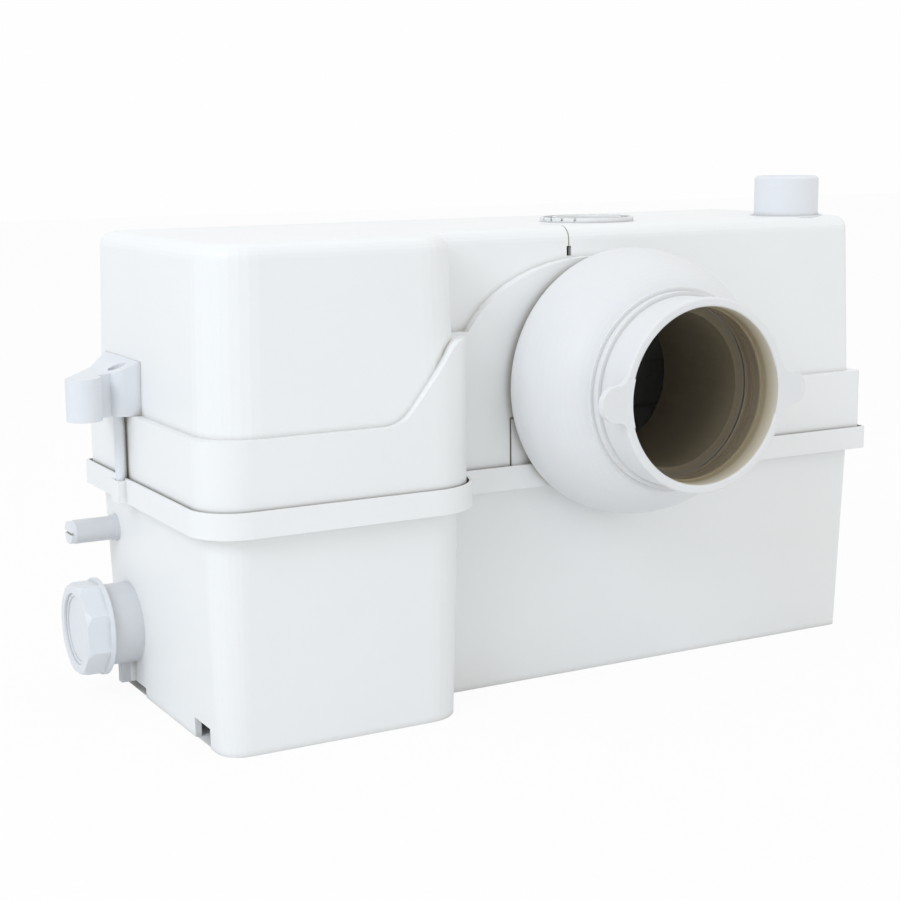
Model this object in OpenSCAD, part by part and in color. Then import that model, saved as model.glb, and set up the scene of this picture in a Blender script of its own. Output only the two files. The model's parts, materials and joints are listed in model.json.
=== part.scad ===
// Floor-standing macerator pump: a drafted tank with a belt rim, a clamped lid with an
// arched skirt, a rubber WC collar, and the motor, grinder, pump and discharge line inside.
// Millimetres. X runs along the casing, Y to its back, Z up. The modules work from the foot
// of the front left corner of the bay, and placed() moves each to the middle of the whole.

/* [Casing] */
// Length of the tank at the floor
casing_len = 433; // [392:0.5:500]
// Width of the bay that stands forward on the left
bay_w = 140; // [130:1:170]
// Depth of the tank at the floor, bay face to back
casing_depth = 168.5; // [160:0.5:200]
// How far the right hand face stands back from the bay face
recess = 39; // [30:1:44]
// Wall of the tank and the lid
casing_wall = 3.5; // [2.5:0.1:4.5]
// Underside of the tank floor above the ground
floor_z = 10; // [8:0.5:13]
// Outward lean of the tank walls, per unit of height
draft_share = 0.029; // [0.01:0.001:0.04]
// Plan radius of the left bay corner at the floor
bay_corner_r = 14; // [10:1:20]
// Plan radius of the inner bay corner at the floor
bay_inner_r = 21; // [14:1:26]
// Plan radius of the right hand and rear corners
end_corner_r = 4; // [4:0.5:10]

/* [Rim] */
// Underside of the rim belt above the ground
rim_z = 115.5; // [110:0.5:125]
// Height of the rim belt
rim_h = 13.5; // [11:0.5:18]
// How far the belt stands proud of the tank wall
rim_out = 7.9; // [6.5:0.1:11]
// Thickness of the upstanding lip of the belt
lip_t = 1.6; // [1.2:0.1:2.2]
// Depth of the channel that takes the lid skirt
channel_deep = 8.5; // [6:0.5:10]
// Height of the gasket in the channel
gasket_h = 2.5; // [1.5:0.1:4]

/* [Lid] */
// Height of the ledge where the skirt ends
ledge_z = 164; // [155:1:175]
// Top of the lid above the ground
lid_top = 260; // [258:1:290]
// How far the skirt stands proud of the tank wall
skirt_out = 4.9; // [4.4:0.1:5.6]
// Width of the ledge between the skirt face and the lid wall
lid_inset = 5.1; // [4:0.1:7]
// Inward lean of the lid walls, per unit of height
lid_lean_share = 0.025; // [0.01:0.001:0.04]
// Radius of the rounded top edge of the lid
lid_edge_r = 8; // [5:0.5:9]
// Plan radius of the two bay corners of the lid
lid_bay_r = 26; // [20:1:32]

/* [Skirt arch] */
// Where the foot curve of the skirt edge starts, from the left end
foot_x = 90; // [80:1:100]
// Radius of the foot curve
foot_r = 20; // [12:1:42]
// Slope of the rising edge, in degrees
rise_angle = 51; // [45:1:60]
// Radius of the shoulder at the bay corner
shoulder_r = 12; // [6:1:16]
// Height of the shoulder
shoulder_z = 205.3; // [200:1:212]
// Centre of the arch over the WC inlet
arch_x = 242; // [236:1:248]
// Top of the arch
arch_top = 243; // [241:1:247]
// Half width of the arch
arch_half_w = 88; // [80:1:95]
// Height of the arch above its springing
arch_half_h = 60; // [52:1:64]

/* [WC inlet] */
// Centre of the WC inlet along the casing
inlet_x = 256; // [250:1:262]
// Height of the centre of the WC inlet
inlet_z = 173; // [170:1:177]
// Radius of the collar mouth
mouth_r = 47.7; // [44:0.1:50]
// Reach of the collar, tongue face to mouth
collar_len = 87; // [75:1:110]
// Largest radius of the collar
collar_bulge_r = 75; // [70:0.5:80]
// Rubber thickness of the collar
collar_wall = 3; // [2:0.1:3.6]
// Bore radius of the tank nozzle
nozzle_r = 45; // [38:0.5:45.5]
// Half width of the tongue that carries the nozzle
tongue_half_w = 69; // [66:0.5:72]

/* [Side inlet] */
// Centre of the side inlet from the back of the casing
side_back = 30.5; // [28.5:1:38.5]
// Height of the centre of the side inlet
side_z = 40.5; // [38:0.5:46]
// Outer radius of the side inlet stub
stub_r = 22.8; // [18:0.1:23]
// Bore radius of the side inlet stub
stub_bore_r = 20.3; // [15:0.1:20.6]
// Reach of the stub beyond the corner of the tank
stub_reach = 29; // [25:1:40]
// Radius over the corners of the cap nut
nut_r = 26.8; // [26.4:0.1:30]
// Number of flats on the cap nut
nut_flats = 8; // [6:2:12]

/* [Drain spigot] */
// Centre of the drain spigot from the back of the casing
drain_back = 15.5; // [12.5:1:28.5]
// Height of the centre of the drain spigot
drain_z = 92.6; // [88:0.2:98]
// Outer radius of the drain spigot
drain_r = 6.8; // [5:0.1:8]
// Bore radius of the drain spigot
drain_bore_r = 4.6; // [3:0.1:4.8]
// Reach of the drain spigot
drain_reach = 27.5; // [18:0.5:40]

/* [Discharge] */
// Centre of the riser from the right end of the casing
riser_in = 27.5; // [26:0.5:33]
// Centre of the riser from the bay face
riser_y = 64; // [63:0.5:66]
// Outer radius of the riser and its spigot
riser_r = 19.5; // [16:0.1:20]
// Wall of the riser
riser_wall = 3; // [2:0.1:4]
// Height of the spigot above the lid
riser_up = 24; // [18:1:60]
// Outer radius of the discharge pipe
pipe_r = 13; // [11:0.5:13]
// Bore radius of the discharge pipe
pipe_bore_r = 10.5; // [8:0.5:10.5]

/* [Vent] */
// Centre of the vent cap along the casing
vent_x = 270; // [260:1:285]
// Centre of the vent cap from the bay face
vent_y = 82; // [78:1:95]
// Radius of the vent cap
vent_r = 27.5; // [24:0.5:29]
// Slots in each half of the vent cap
vent_slots = 6; // [4:1:8]

/* [Lid clamp] */
// Centre of the tie screw from the bay face
clamp_y = 112; // [105:1:118]
// Height of the clamp block
clamp_h = 25; // [22:1:30]
// Reach of the clamp beyond the lid wall
clamp_reach = 41; // [38:1:50]
// Shank radius of the tie screw
tie_r = 3.2; // [2.6:0.1:3.6]

/* [Motor] */
// Motor axis along the casing
motor_x = 72; // [70:1:76]
// Motor axis from the back of the casing
motor_back = 74.5; // [72.5:0.5:75.5]
// Outer radius of the motor can
can_r = 54; // [50:0.5:56]
// Height of the motor can
can_h = 108; // [96:1:110]
// Radius of the shaft
shaft_r = 6; // [4:0.1:7]

/* [Pump] */
// Height of the rubber feet of the pump
foot_h = 8; // [5:0.5:10]
// Height of the volute casing
volute_h = 28.5; // [28:0.5:32]
// Radius of the impeller
impeller_r = 33; // [28:0.5:34]
// Number of impeller vanes
impeller_vanes = 5; // [3:1:7]
// Outer radius of the grinder basket
basket_r = 52; // [48:0.5:53]
// Height of the grinder basket
basket_h = 46.5; // [40:0.5:48]
// Number of slots in the grinder basket
basket_slots = 24; // [12:2:30]
// Radius swept by the cutter blade
cutter_r = 44; // [38:0.5:46]

/* [Pressure switch] */
// Centre of the pressure bell along the casing
bell_x = 166; // [162:1:172]
// Centre of the pressure bell from the bay face
bell_y = 126; // [122:1:132]
// Outer radius of the pressure bell
bell_r = 13; // [10:0.5:15]
// Travel of the switch pusher
switch_travel = 3; // [2:0.1:3]

/* [Hidden] */
$fn = 64;

// Colours of the plastics, rubbers and metals
white_plastic = [0.93, 0.94, 0.95];
grey_plastic = [0.80, 0.81, 0.82];
white_rubber = [0.90, 0.91, 0.92];
black_rubber = [0.13, 0.13, 0.14];
steel = [0.70, 0.71, 0.73];
copper = [0.72, 0.42, 0.24];
core_grey = [0.42, 0.43, 0.45];
carbon_black = [0.10, 0.10, 0.11];
taupe_plastic = [0.34, 0.31, 0.26];

// Overrun of every cut, and the thickness of the thin slices that the drafted walls span
over = 1;
slice = 0.02;
// Running clearance between pieces that move past each other
gap = 0.3;
side_y = casing_depth - side_back;
drain_y = casing_depth - drain_back;
riser_x = casing_len - riser_in;
motor_y = casing_depth - motor_back;
// Sliding clearance of a pin or shaft in its bore
fit = 0.08;

// Outward shifts of the plan outline, counted from the tank wall at the floor
rim_base = draft_share * rim_z;
belt_out = rim_base + rim_out;
skirt_face = rim_base + skirt_out;
lid_face = skirt_face - lid_inset;
rim_top = rim_z + rim_h;
wall_top_out = draft_share * rim_top;
// The inner wall of the channel clears the drafted wall by this much
channel_ease = 0.2;
channel_in = wall_top_out + channel_ease;
channel_z = rim_top - channel_deep;
skirt_z = channel_z + gasket_h;
floor_top = floor_z + casing_wall;
// Plan radii grow with the outward shift
bay_gain = bay_inner_r - bay_corner_r;
belt_bay_r = bay_corner_r + belt_out;
skirt_bay_r = bay_corner_r + skirt_face;
// The sharper end corners gain little
end_gain_share = 0;
belt_end_r = end_corner_r + end_gain_share * belt_out;
skirt_end_r = end_corner_r + end_gain_share * skirt_face;
// The riser is a little thicker below its spigot
riser_step = 0.6;
riser_body_r = riser_r + riser_step;
// Face of the tongue, level with the skirt
tongue_y = recess - skirt_face;

// Small sizes of the tank
inner_fillet = 6;
tongue_t = 5.5;
tongue_round_share = 0.9;
tongue_r = tongue_round_share * tongue_half_w;
tongue_top = inlet_z + tongue_r;
shoulder_drop = 18;
tongue_shoulder = inlet_z - shoulder_drop;
tongue_gap = 1.2;
nozzle_wall = 4;
nozzle_len = 54;
liner_t = 1.6;
bead_h = 2.4;
bead_w = 3;
bead_at = 11.5;
notch_w = 22;
notch_h = 11;
notch_y = 21;
rear_notch_w = 40;
rear_notch_h = 5.5;
rear_notch_y = 120;
stub_root = 6;
rib_t = 5;
rib_reach = 9;
rib_foot = 6;
boss_w = 12;
boss_out = 4.2;
boss_drop = 1;
tie_bore_deep = 9;
saddle_t = 5;
saddle_share = [0.45, 0.7];
flap_lug_t = 3;
flap_lug_h = 7;
flap_pin_r = 1.6;
flap_pin_half = 11;
gland_x = 40;
gland_z = 98;
gland_r = 8;
gland_wall = 2.2;

// Extents of the whole, for the frame
clamp_tip_x = -lid_face - clamp_reach;
nut_over = 5;
nut_tip_x = -stub_reach - nut_over;
whole_left = min(clamp_tip_x, nut_tip_x);
whole_right = casing_len + belt_out;
mouth_y = tongue_y - collar_len;
whole_back = casing_depth + belt_out;
centre_x = (whole_left + whole_right) / 2;
centre_y = (mouth_y + whole_back) / 2;

module placed() { translate([-centre_x, -centre_y, 0]) children(); }

function arc(c, r, a0, a1, n) =
    [for (i = [0:n]) c + r * [cos(a0 + (a1 - a0) * i / n), sin(a0 + (a1 - a0) * i / n)]];

function oval(c, rx, ry, a0, a1, n) =
    [for (i = [0:n]) c + [rx * cos(a0 + (a1 - a0) * i / n), ry * sin(a0 + (a1 - a0) * i / n)]];

// A tube that stands on z = 0
module tube(r, bore, h) {
    difference() {
        cylinder(r = r, h = h);
        translate([0, 0, -over]) cylinder(r = bore, h = h + 2 * over);
    }
}

// Lays a shape that was drawn upward along +X, -X or forward along -Y
module along_x() { rotate([0, 90, 0]) children(); }
module along_left() { rotate([0, -90, 0]) children(); }
module forward() { rotate([90, 0, 0]) children(); }

// Rectangle between two corners, with corner radii front left, front right, back right, back left
module round_rect(x0, y0, x1, y1, r) {
    polygon([[x0 + r[0], y0], [x1 - r[1], y0], [x1, y0 + r[1]], [x1, y1 - r[2]],
        [x1 - r[2], y1], [x0 + r[3], y1], [x0, y1 - r[3]], [x0, y0 + r[0]]]);
    translate([x0 + r[0], y0 + r[0]]) circle(r = r[0]);
    translate([x1 - r[1], y0 + r[1]]) circle(r = r[1]);
    translate([x1 - r[2], y1 - r[2]]) circle(r = r[2]);
    translate([x0 + r[3], y1 - r[3]]) circle(r = r[3]);
}

// Plan outline of the casing, shifted outward: the bay, the main part and the fillet between
module casing_plan(out, bay_r, end_r, fillet = inner_fillet) {
    back = casing_depth + out;
    front = recess - out;
    side = bay_w + out;
    round_rect(-out, -out, side, back, [bay_r, bay_r + bay_gain, end_r, end_r]);
    round_rect(bay_w / 2, front, casing_len + out, back, [slice, end_r, end_r, end_r]);
    polygon(concat([[side - over, front + over]],
        arc([side + fillet, front - fillet], fillet, 180, 90, 5)));
}

// Drafted casing: two blocks, each spanned between thin plan slices of
// [height, outward shift, left bay radius, end radius, inner bay radius]
module casing_blocks(levels) {
    hull() for (l = levels) plan_corners(l[0], -l[1], -l[1], bay_w + l[1], l[1], l[2], l[4], l[3]);
    hull() for (l = levels)
        plan_corners(l[0], -l[1], recess - l[1], casing_len + l[1], l[1], l[3], l[3], l[3]);
}

module plan_corners(z, x0, y0, x1, out, left_r, right_r, back_r) {
    y1 = casing_depth + out;
    translate([0, 0, z]) {
        translate([x0 + left_r, y0 + left_r, 0]) cylinder(r = left_r, h = slice, $fn = 32);
        translate([x1 - right_r, y0 + right_r, 0]) cylinder(r = right_r, h = slice, $fn = 32);
        for (x = [x0 + back_r, x1 - back_r])
            translate([x, y1 - back_r, 0]) cylinder(r = back_r, h = slice, $fn = 32);
    }
}

// Outline of the tongue round the nozzle, in X and Z, from the given foot, grown by ease
module tongue_outline(foot, ease) {
    half = tongue_half_w + ease;
    translate([inlet_x - half, foot]) square([2 * half, tongue_shoulder + ease - foot]);
    intersection() {
        translate([inlet_x, inlet_z]) circle(r = tongue_r + ease);
        translate([inlet_x - half, foot]) square([2 * half, tongue_top + ease + over - foot]);
    }
}

module tank() {
    color(white_plastic) placed() {
        difference() {
            union() {
                tank_outer();
                translate([0, 0, rim_z]) linear_extrude(rim_h)
                    casing_plan(belt_out, belt_bay_r, belt_end_r);
                clamp_boss();
            }
            tank_inner();
            translate([0, 0, -over]) linear_extrude(floor_z + over)
                casing_plan(-casing_wall, bay_corner_r - casing_wall, casing_wall);
            skirt_channel();
            tank_notches();
            tank_holes();
            translate([-clamp_x, clamp_y, rim_top - tie_bore_deep])
                cylinder(r = tie_r + gap, h = tie_bore_deep + over);
        }
        tongue();
        side_stub();
        drain_spigot();
        flap_lugs();
        for (s = saddle_share)
            translate([s * casing_len, riser_y - pipe_r / 2, floor_top - slice])
                cube([saddle_t, pipe_r, pipe_z - pipe_r - gap / 2 - floor_top + slice]);
    }
}

module tank_outer() {
    casing_blocks([[0, 0, bay_corner_r, end_corner_r, bay_inner_r],
        [rim_top - slice, wall_top_out, bay_corner_r + wall_top_out, end_corner_r,
            bay_inner_r + wall_top_out]]);
}

module tank_inner() {
    low = draft_share * floor_top - casing_wall;
    high = wall_top_out - casing_wall;
    end_r = eased(end_corner_r - casing_wall);
    casing_blocks([[floor_top, low, bay_corner_r + low, end_r, bay_inner_r + low],
        [rim_top + over, high, bay_corner_r + high, end_r, bay_inner_r + high]]);
}

// Channel between the tank wall and the lip of the belt, open upward, closed at the tongue
module skirt_channel() {
    translate([0, 0, channel_z]) difference() {
        linear_extrude(channel_deep + over)
            casing_plan(belt_out - lip_t, belt_bay_r - lip_t, belt_end_r - lip_t);
        translate([0, 0, -over]) linear_extrude(channel_deep + 3 * over)
            casing_plan(channel_in, bay_corner_r + channel_in, end_corner_r);
        translate([inlet_x - tongue_half_w, recess - belt_out - over, -over])
            cube([2 * tongue_half_w, belt_out + 2 * over, channel_deep + 3 * over]);
    }
}

// Fixing notches in the foot of both end walls
module tank_notches() {
    for (x = [-over, casing_len - casing_wall - over]) {
        translate([x, notch_y + (x > 0 ? recess : 0), -over])
            cube([casing_wall + 2 * over, notch_w, notch_h + over]);
        translate([x, rear_notch_y, -over])
            cube([casing_wall + 2 * over, rear_notch_w, rear_notch_h + over]);
    }
}

module tank_holes() {
    translate([inlet_x, recess + casing_wall, inlet_z]) forward()
        cylinder(r = nozzle_r, h = casing_wall + belt_out + over);
    translate([casing_wall + over, side_y, side_z]) along_left()
        cylinder(r = stub_bore_r, h = 2 * casing_wall + over);
    translate([casing_wall + over, drain_y, drain_z]) along_left()
        cylinder(r = drain_bore_r, h = 3 * casing_wall + over);
    translate([gland_x, casing_depth + belt_out, gland_z]) forward()
        cylinder(r = gland_r + fit, h = 2 * casing_wall + belt_out);
}

// Tongue that rises from the rim behind the collar, with the nozzle and its bead
module tongue() {
    difference() {
        union() {
            translate([0, tongue_y + tongue_t, 0]) forward()
                linear_extrude(tongue_t) tongue_outline(channel_z - slice, 0);
            translate([inlet_x, tongue_y + slice, inlet_z]) forward() {
                cylinder(r = nozzle_r + nozzle_wall, h = nozzle_len);
                translate([0, 0, bead_at])
                    cylinder(r = nozzle_r + nozzle_wall + bead_h, h = bead_w);
            }
        }
        translate([inlet_x, tongue_y + tongue_t + over, inlet_z]) forward()
            cylinder(r = nozzle_r, h = tongue_t + nozzle_len + 2 * over);
    }
}

// Side inlet stub through the left wall, with its gusset underneath
module side_stub() {
    translate([stub_root, side_y, side_z]) along_left()
        tube(stub_r, stub_bore_r, stub_reach + stub_root);
    translate([-rib_reach, side_y - rib_t / 2, rib_foot])
        cube([rib_reach, rib_t, side_z - stub_r - rib_foot + casing_wall / 2]);
}

drain_root = 5.5;
module drain_spigot() {
    translate([0, drain_y, drain_z]) along_left() {
        tube(drain_r, drain_bore_r, drain_reach);
        tube(drain_r + riser_step, drain_bore_r, drain_root);
    }
}

// Boss on the belt that takes the tie screw
clamp_x = skirt_face + gap + tie_r;
module clamp_boss() {
    translate([-clamp_x - boss_out, clamp_y - boss_w / 2, rim_z])
        cube([boss_out + clamp_x, boss_w, rim_h - boss_drop]);
}

// Two lugs above the inner end of the stub that carry the flap pin
side_pin_x = stub_root + flap_lug_t;
side_pin_z = side_z + stub_r + flap_lug_t;
module flap_lugs() {
    for (side = [-1, 1])
        translate([0, side_y + side * (flap_pin_half - flap_lug_t / 2) - flap_lug_t / 2,
                side_pin_z - flap_lug_h / 2])
            difference() {
                cube([side_pin_x + flap_lug_t, flap_lug_t, flap_lug_h]);
                translate([side_pin_x, -over, flap_lug_h / 2]) rotate([-90, 0, 0])
                    cylinder(r = flap_pin_r + fit, h = flap_lug_t + 2 * over);
            }
}

// Gasket cord in the channel, stopped at both sides of the tongue
gasket_side = 0.4;
module rim_gasket() {
    color(white_rubber) placed() difference() {
        translate([0, 0, channel_z]) linear_extrude(gasket_h) difference() {
            casing_plan(belt_out - lip_t - gasket_side, belt_bay_r - lip_t - gasket_side,
                belt_end_r - lip_t - gasket_side);
            casing_plan(channel_in + gasket_side, bay_corner_r + channel_in + gasket_side,
                end_corner_r + gasket_side);
        }
        translate([inlet_x - tongue_half_w - gasket_side, recess - belt_out - over,
                channel_z - over])
            cube([2 * (tongue_half_w + gasket_side), belt_out + 2 * over, gasket_h + 2 * over]);
        translate([-clamp_x, clamp_y, channel_z - over]) cylinder(r = tie_r + gap, h = gasket_h + 2 * over);
    }
}

// Thin seal in the gap between the tongue and the lid
seal_deep = 4;
seal_ease = 0.15;
module tongue_seal() {
    color(white_rubber) placed()
        translate([0, tongue_y + tongue_t, 0]) forward() linear_extrude(seal_deep) difference() {
            tongue_outline(rim_top + gap, tongue_gap - gap);
            tongue_outline(rim_top - over, seal_ease);
        }
}

// Outward shift of the lid wall at a height
function lid_out(z) = lid_face - lid_lean_share * (z - ledge_z);
lid_low = ledge_z - casing_wall;
// The end corners just take the rounded top edge
lid_end_share = 1.25;
lid_end_r = lid_end_share * end_corner_r;
corner_min = 0.6;
function eased(r) = max(r, corner_min);

// Steps of the rounded top edge
edge_steps = 6;

// Plan slices of the lid body: the leaning wall, then the rounded edge; inset by a wall for the inside
function lid_levels(inset) =
    let (r = lid_edge_r - inset, top = lid_top - inset, eaves = lid_out(lid_top - lid_edge_r) - inset)
    concat(
        [[lid_low - (inset > 0 ? over : 0), lid_out(lid_low) - inset, lid_bay_r - inset,
            eased(lid_end_r - inset), lid_bay_r - inset]],
        [for (i = [0:edge_steps]) let (a = 90 * i / edge_steps, pull = r * (1 - cos(a)))
            [top - r + r * sin(a) - slice, eaves - pull, lid_bay_r - inset - pull,
                eased(lid_end_r - inset - pull), lid_bay_r - inset - pull]]);

// Upper edge of the skirt in X and Z: foot, rise, shoulder, arch over the inlet and ledge; drop
// moves it inward by a wall
spring_r = arch_top - arch_half_h - ledge_z;
rise_run = (shoulder_z - ledge_z - (shoulder_r + foot_r) * (1 - cos(rise_angle))) / tan(rise_angle);
shoulder_x = foot_x + (foot_r + shoulder_r) * sin(rise_angle) + rise_run;
function edge_outline(drop) =
    let (mid = [arch_x, arch_top - arch_half_h],
        start = 180 - asin((shoulder_z - drop - mid[1]) / (arch_half_h - drop)),
        left = -belt_out - over, right = casing_len + belt_out + over)
    concat([[left, 0], [left, ledge_z - drop]],
        arc([foot_x, ledge_z + foot_r], foot_r + drop, -90, rise_angle - 90, 8),
        arc([shoulder_x, shoulder_z - shoulder_r], shoulder_r - drop, 90 + rise_angle, 90, 5),
        oval(mid, arch_half_w - drop, arch_half_h - drop, start, 0, 22),
        arc([arch_x + arch_half_w + spring_r, ledge_z + spring_r], spring_r + drop, 180, 270, 6),
        [[right, ledge_z - drop], [right, 0]]);

// The arch shows on the front faces only, the ledge runs level round the rest
skirt_split = recess + casing_wall;
module skirt_prism(out, bay_r, end_r, drop, low) {
    intersection() {
        translate([0, 0, low]) linear_extrude(lid_top - low) casing_plan(out, bay_r, end_r);
        union() {
            translate([0, skirt_split, 0]) forward()
                linear_extrude(skirt_split + belt_out + over) polygon(edge_outline(drop));
            translate([-belt_out - over, skirt_split, 0])
                cube([casing_len + 2 * (belt_out + over), casing_depth, ledge_z - drop]);
        }
    }
}

// Vent well under the lid top
well_wall = 2;
well_deep = 24;
well_share = 0.8;
well_r = well_share * vent_r;
vent_sink = 1.2;
seam_x = 229.3;
seam_w = 0.8;
seam_deep = 0.6;
slot_w = 3;
slot_h = 5.5;
slot_rise = 0.4;
grommet_t = 2;
module lid() {
    color(white_plastic) placed() difference() {
        union() {
            difference() {
                union() {
                    casing_blocks(lid_levels(0));
                    skirt_prism(skirt_face, skirt_bay_r, skirt_end_r, 0, skirt_z);
                }
                casing_blocks(lid_levels(casing_wall));
                skirt_prism(skirt_face - casing_wall, skirt_bay_r - casing_wall,
                    eased(skirt_end_r - casing_wall), casing_wall, skirt_z - over);
            }
            translate([vent_x, vent_y, lid_top - well_deep])
                cylinder(r = well_r + well_wall, h = well_deep - casing_wall / 2);
        }
        translate([vent_x, vent_y, lid_top - vent_sink]) cylinder(r = vent_r + gap, h = over + vent_sink);
        translate([vent_x, vent_y, lid_top - well_deep + well_wall])
            cylinder(r = well_r, h = well_deep);
        translate([vent_x, vent_y, lid_top - well_deep - over])
            cylinder(r = well_r - 3 * well_wall, h = well_deep);
        translate([riser_x, riser_y, lid_top - 2 * casing_wall])
            cylinder(r = riser_body_r + grommet_t, h = 3 * casing_wall);
        translate([0, skirt_split, 0]) forward() linear_extrude(skirt_split + belt_out + over)
            tongue_outline(0, tongue_gap);
        lid_seam();
        translate([seam_x - slot_w / 2, recess - lid_face, arch_top + slot_rise])
            cube([slot_w, 2 * casing_wall, slot_h]);
    }
}

// Shallow groove from the slot over the front edge to the vent
module lid_seam() {
    foot = arch_top + slot_rise + slot_h;
    front = recess - lid_out(lid_top);
    r = lid_edge_r;
    difference() {
        translate([seam_x - seam_w / 2, front - lid_edge_r, foot - seam_deep])
            cube([seam_w, vent_y - front + lid_edge_r - vent_r / 2, lid_top + over - foot + seam_deep]);
        translate([seam_x - seam_w, front + seam_deep, foot - over])
            cube([2 * seam_w, vent_y, lid_top - r - foot + over]);
        translate([seam_x - seam_w, front + r, foot])
            cube([2 * seam_w, vent_y, lid_top - seam_deep - foot]);
        translate([seam_x - seam_w, front + r, lid_top - r]) along_x()
            cylinder(r = r - seam_deep, h = 2 * seam_w);
    }
}

// Vent cap: a disc with a raised ring, two groups of slots and a neck in the well
cap_t = 2;
cap_ring_w = 1.6;
cap_ring_h = 1.8;
neck_h = 6;
neck_wall = 1.8;
vent_slot_w = 1.6;
slot_step = 17;
module vent_cap() {
    z = lid_top - vent_sink;
    color(white_plastic) placed() translate([vent_x, vent_y, z]) difference() {
        union() {
            cylinder(r = vent_r, h = cap_t);
            tube(vent_r, vent_r - cap_ring_w, cap_t + cap_ring_h);
            tube(well_r - cap_ring_w, well_r - 2 * cap_ring_w, cap_t + cap_ring_h);
            translate([0, 0, -neck_h]) tube(well_r - gap, well_r - gap - neck_wall, neck_h + slice);
        }
        for (side = [0, 180], i = [0:vent_slots - 1])
            rotate([0, 0, side + (i - (vent_slots - 1) / 2) * slot_step])
                translate([well_r - cap_ring_w / 2, -vent_slot_w / 2, -over])
                    cube([vent_r - well_r - cap_ring_w / 2, vent_slot_w, cap_t + 3 * over]);
        for (side = [0, 180], i = [0:vent_slots - 1])
            rotate([0, 0, side + (i - (vent_slots - 1) / 2) * slot_step])
                translate([well_r, -vent_slot_w / 2, cap_t])
                    cube([vent_r - well_r + over, vent_slot_w, cap_ring_h + over]);
        for (side = [0, 180], i = [0:vent_slots - 1])
            rotate([0, 0, side + (i - (vent_slots - 1) / 2) * slot_step])
                translate([well_r / 2, -vent_slot_w / 2, -over])
                    cube([well_r / 2 - 2 * cap_ring_w - neck_wall, vent_slot_w, cap_t + 2 * over]);
    }
}

module carbon_filter() {
    color(carbon_black) placed()
        translate([vent_x, vent_y, lid_top - well_deep + well_wall])
            cylinder(r = well_r - gap, h = well_deep - well_wall - vent_sink - neck_h - gap);
}

// Rubber sleeve between the riser and the lid
module riser_grommet() {
    color(black_rubber) placed() translate([riser_x, riser_y, lid_top - 2 * casing_wall + gap])
        tube(riser_body_r + grommet_t - fit, riser_body_r + gap, 2 * casing_wall);
}

// Lid clamp: a square block round the screw, a web and a round lobe at the tip, standing on the
// ledge against the lid wall
block_half = 12;
block_side = 6.8;
block_r = 7;
clamp_tip_r = 9.5;
clamp_tip_ahead = 13;
clamp_tip_y = clamp_y - clamp_tip_ahead;
clamp_tail = 50;
clamp_tail_y = clamp_y + clamp_tail;
clamp_sag = 1.5;
clamp_top = ledge_z + clamp_h - clamp_sag;
clamp_rise = 4;
clamp_crest = ledge_z + clamp_h + clamp_rise;
tip_seam_a = 20;
head_r = 4.6;
head_h = 2.6;
head_sink = 3.4;
module lid_clamp() {
    tip_x = clamp_tip_x + clamp_tip_r;
    block_x = -clamp_x - block_side;
    wall_x = -lid_face - slice;
    color(grey_plastic) placed() difference() {
        intersection() {
            translate([0, 0, ledge_z]) linear_extrude(clamp_h + clamp_tip_r)
                polygon(concat([[0, clamp_tail_y], [0, clamp_y - block_half]],
                    arc([block_x + block_r, clamp_y - block_half + block_r], block_r, -90, -160, 8),
                    arc([tip_x, clamp_tip_y], clamp_tip_r, tip_seam_a, -225, 24)));
            translate([0, clamp_tail_y + over, 0]) forward()
                linear_extrude(clamp_tail_y - clamp_tip_y + clamp_tip_r + 2 * over)
                    polygon([[clamp_tip_x - over, 0], [-lid_out(0) - slice, 0],
                        [-lid_out(clamp_crest) - slice, clamp_crest], [wall_x, clamp_crest],
                        [-clamp_x - block_side, clamp_top],
                        [clamp_tip_x - over, clamp_top - over]]);
        }
        translate([-clamp_x, clamp_y, 0]) cylinder(r = tie_r + gap, h = lid_top);
        translate([-clamp_x, clamp_y, clamp_top - head_sink]) cylinder(r = head_r + gap, h = clamp_h);
    }
}

// Tie screw: slotted head, long shank and a thread core in the boss
driver_w = 1.2;
driver_deep = 1.4;
tie_tip_gap = 1.2;
module tie_screw() {
    foot = rim_top - tie_bore_deep + tie_tip_gap;
    head_z = clamp_top - head_sink;
    color(steel) placed() translate([-clamp_x, clamp_y, 0]) difference() {
        union() {
            translate([0, 0, foot]) cylinder(r = tie_r, h = head_z - foot + slice);
            translate([0, 0, head_z]) cylinder(r = head_r, h = head_h);
        }
        translate([-head_r - over, -driver_w / 2, head_z + head_h - driver_deep])
            cube([2 * (head_r + over), driver_w, driver_deep + over]);
    }
}

// Rubber collar: foot plate, sleeve on the nozzle, bulging bell, two steps, neck and mouth with
// two pull lugs; drawn as radius and distance forward of the tongue
foot_plate_r = 61;
sleeve_len = 11;
bulge_at = 12.5;
bell_core_r = 50;
bell_len = 47;
step_r = [56, 54, 51.8];
step_at = [59.2, 63.4];
rim_r = 52.6;
rim_len = 4;
rim_round = 1.2;
lip_deep = 0.8;
lip_w = 1.4;
lip_at = [64, 71.5];
back_r = mouth_r + riser_step;
lug_r = 9.6;
lug_out = 57;
lug_t = 4;
lug_fillet = 6;
module lug_outline() {
    turn_y = lug_r + lug_fillet;
    turn_x = sqrt(pow(rim_r + lug_fillet, 2) - pow(turn_y, 2));
    lean = atan2(turn_y, turn_x);
    translate([lug_out, 0]) circle(r = lug_r);
    for (side = [0, 1]) mirror([0, side])
        polygon(concat([[turn_x, 0], [mouth_r, 0], mouth_r * [cos(lean), sin(lean)]],
            arc([turn_x, turn_y], lug_fillet, 180 + lean, 270, 8)));
}
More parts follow.
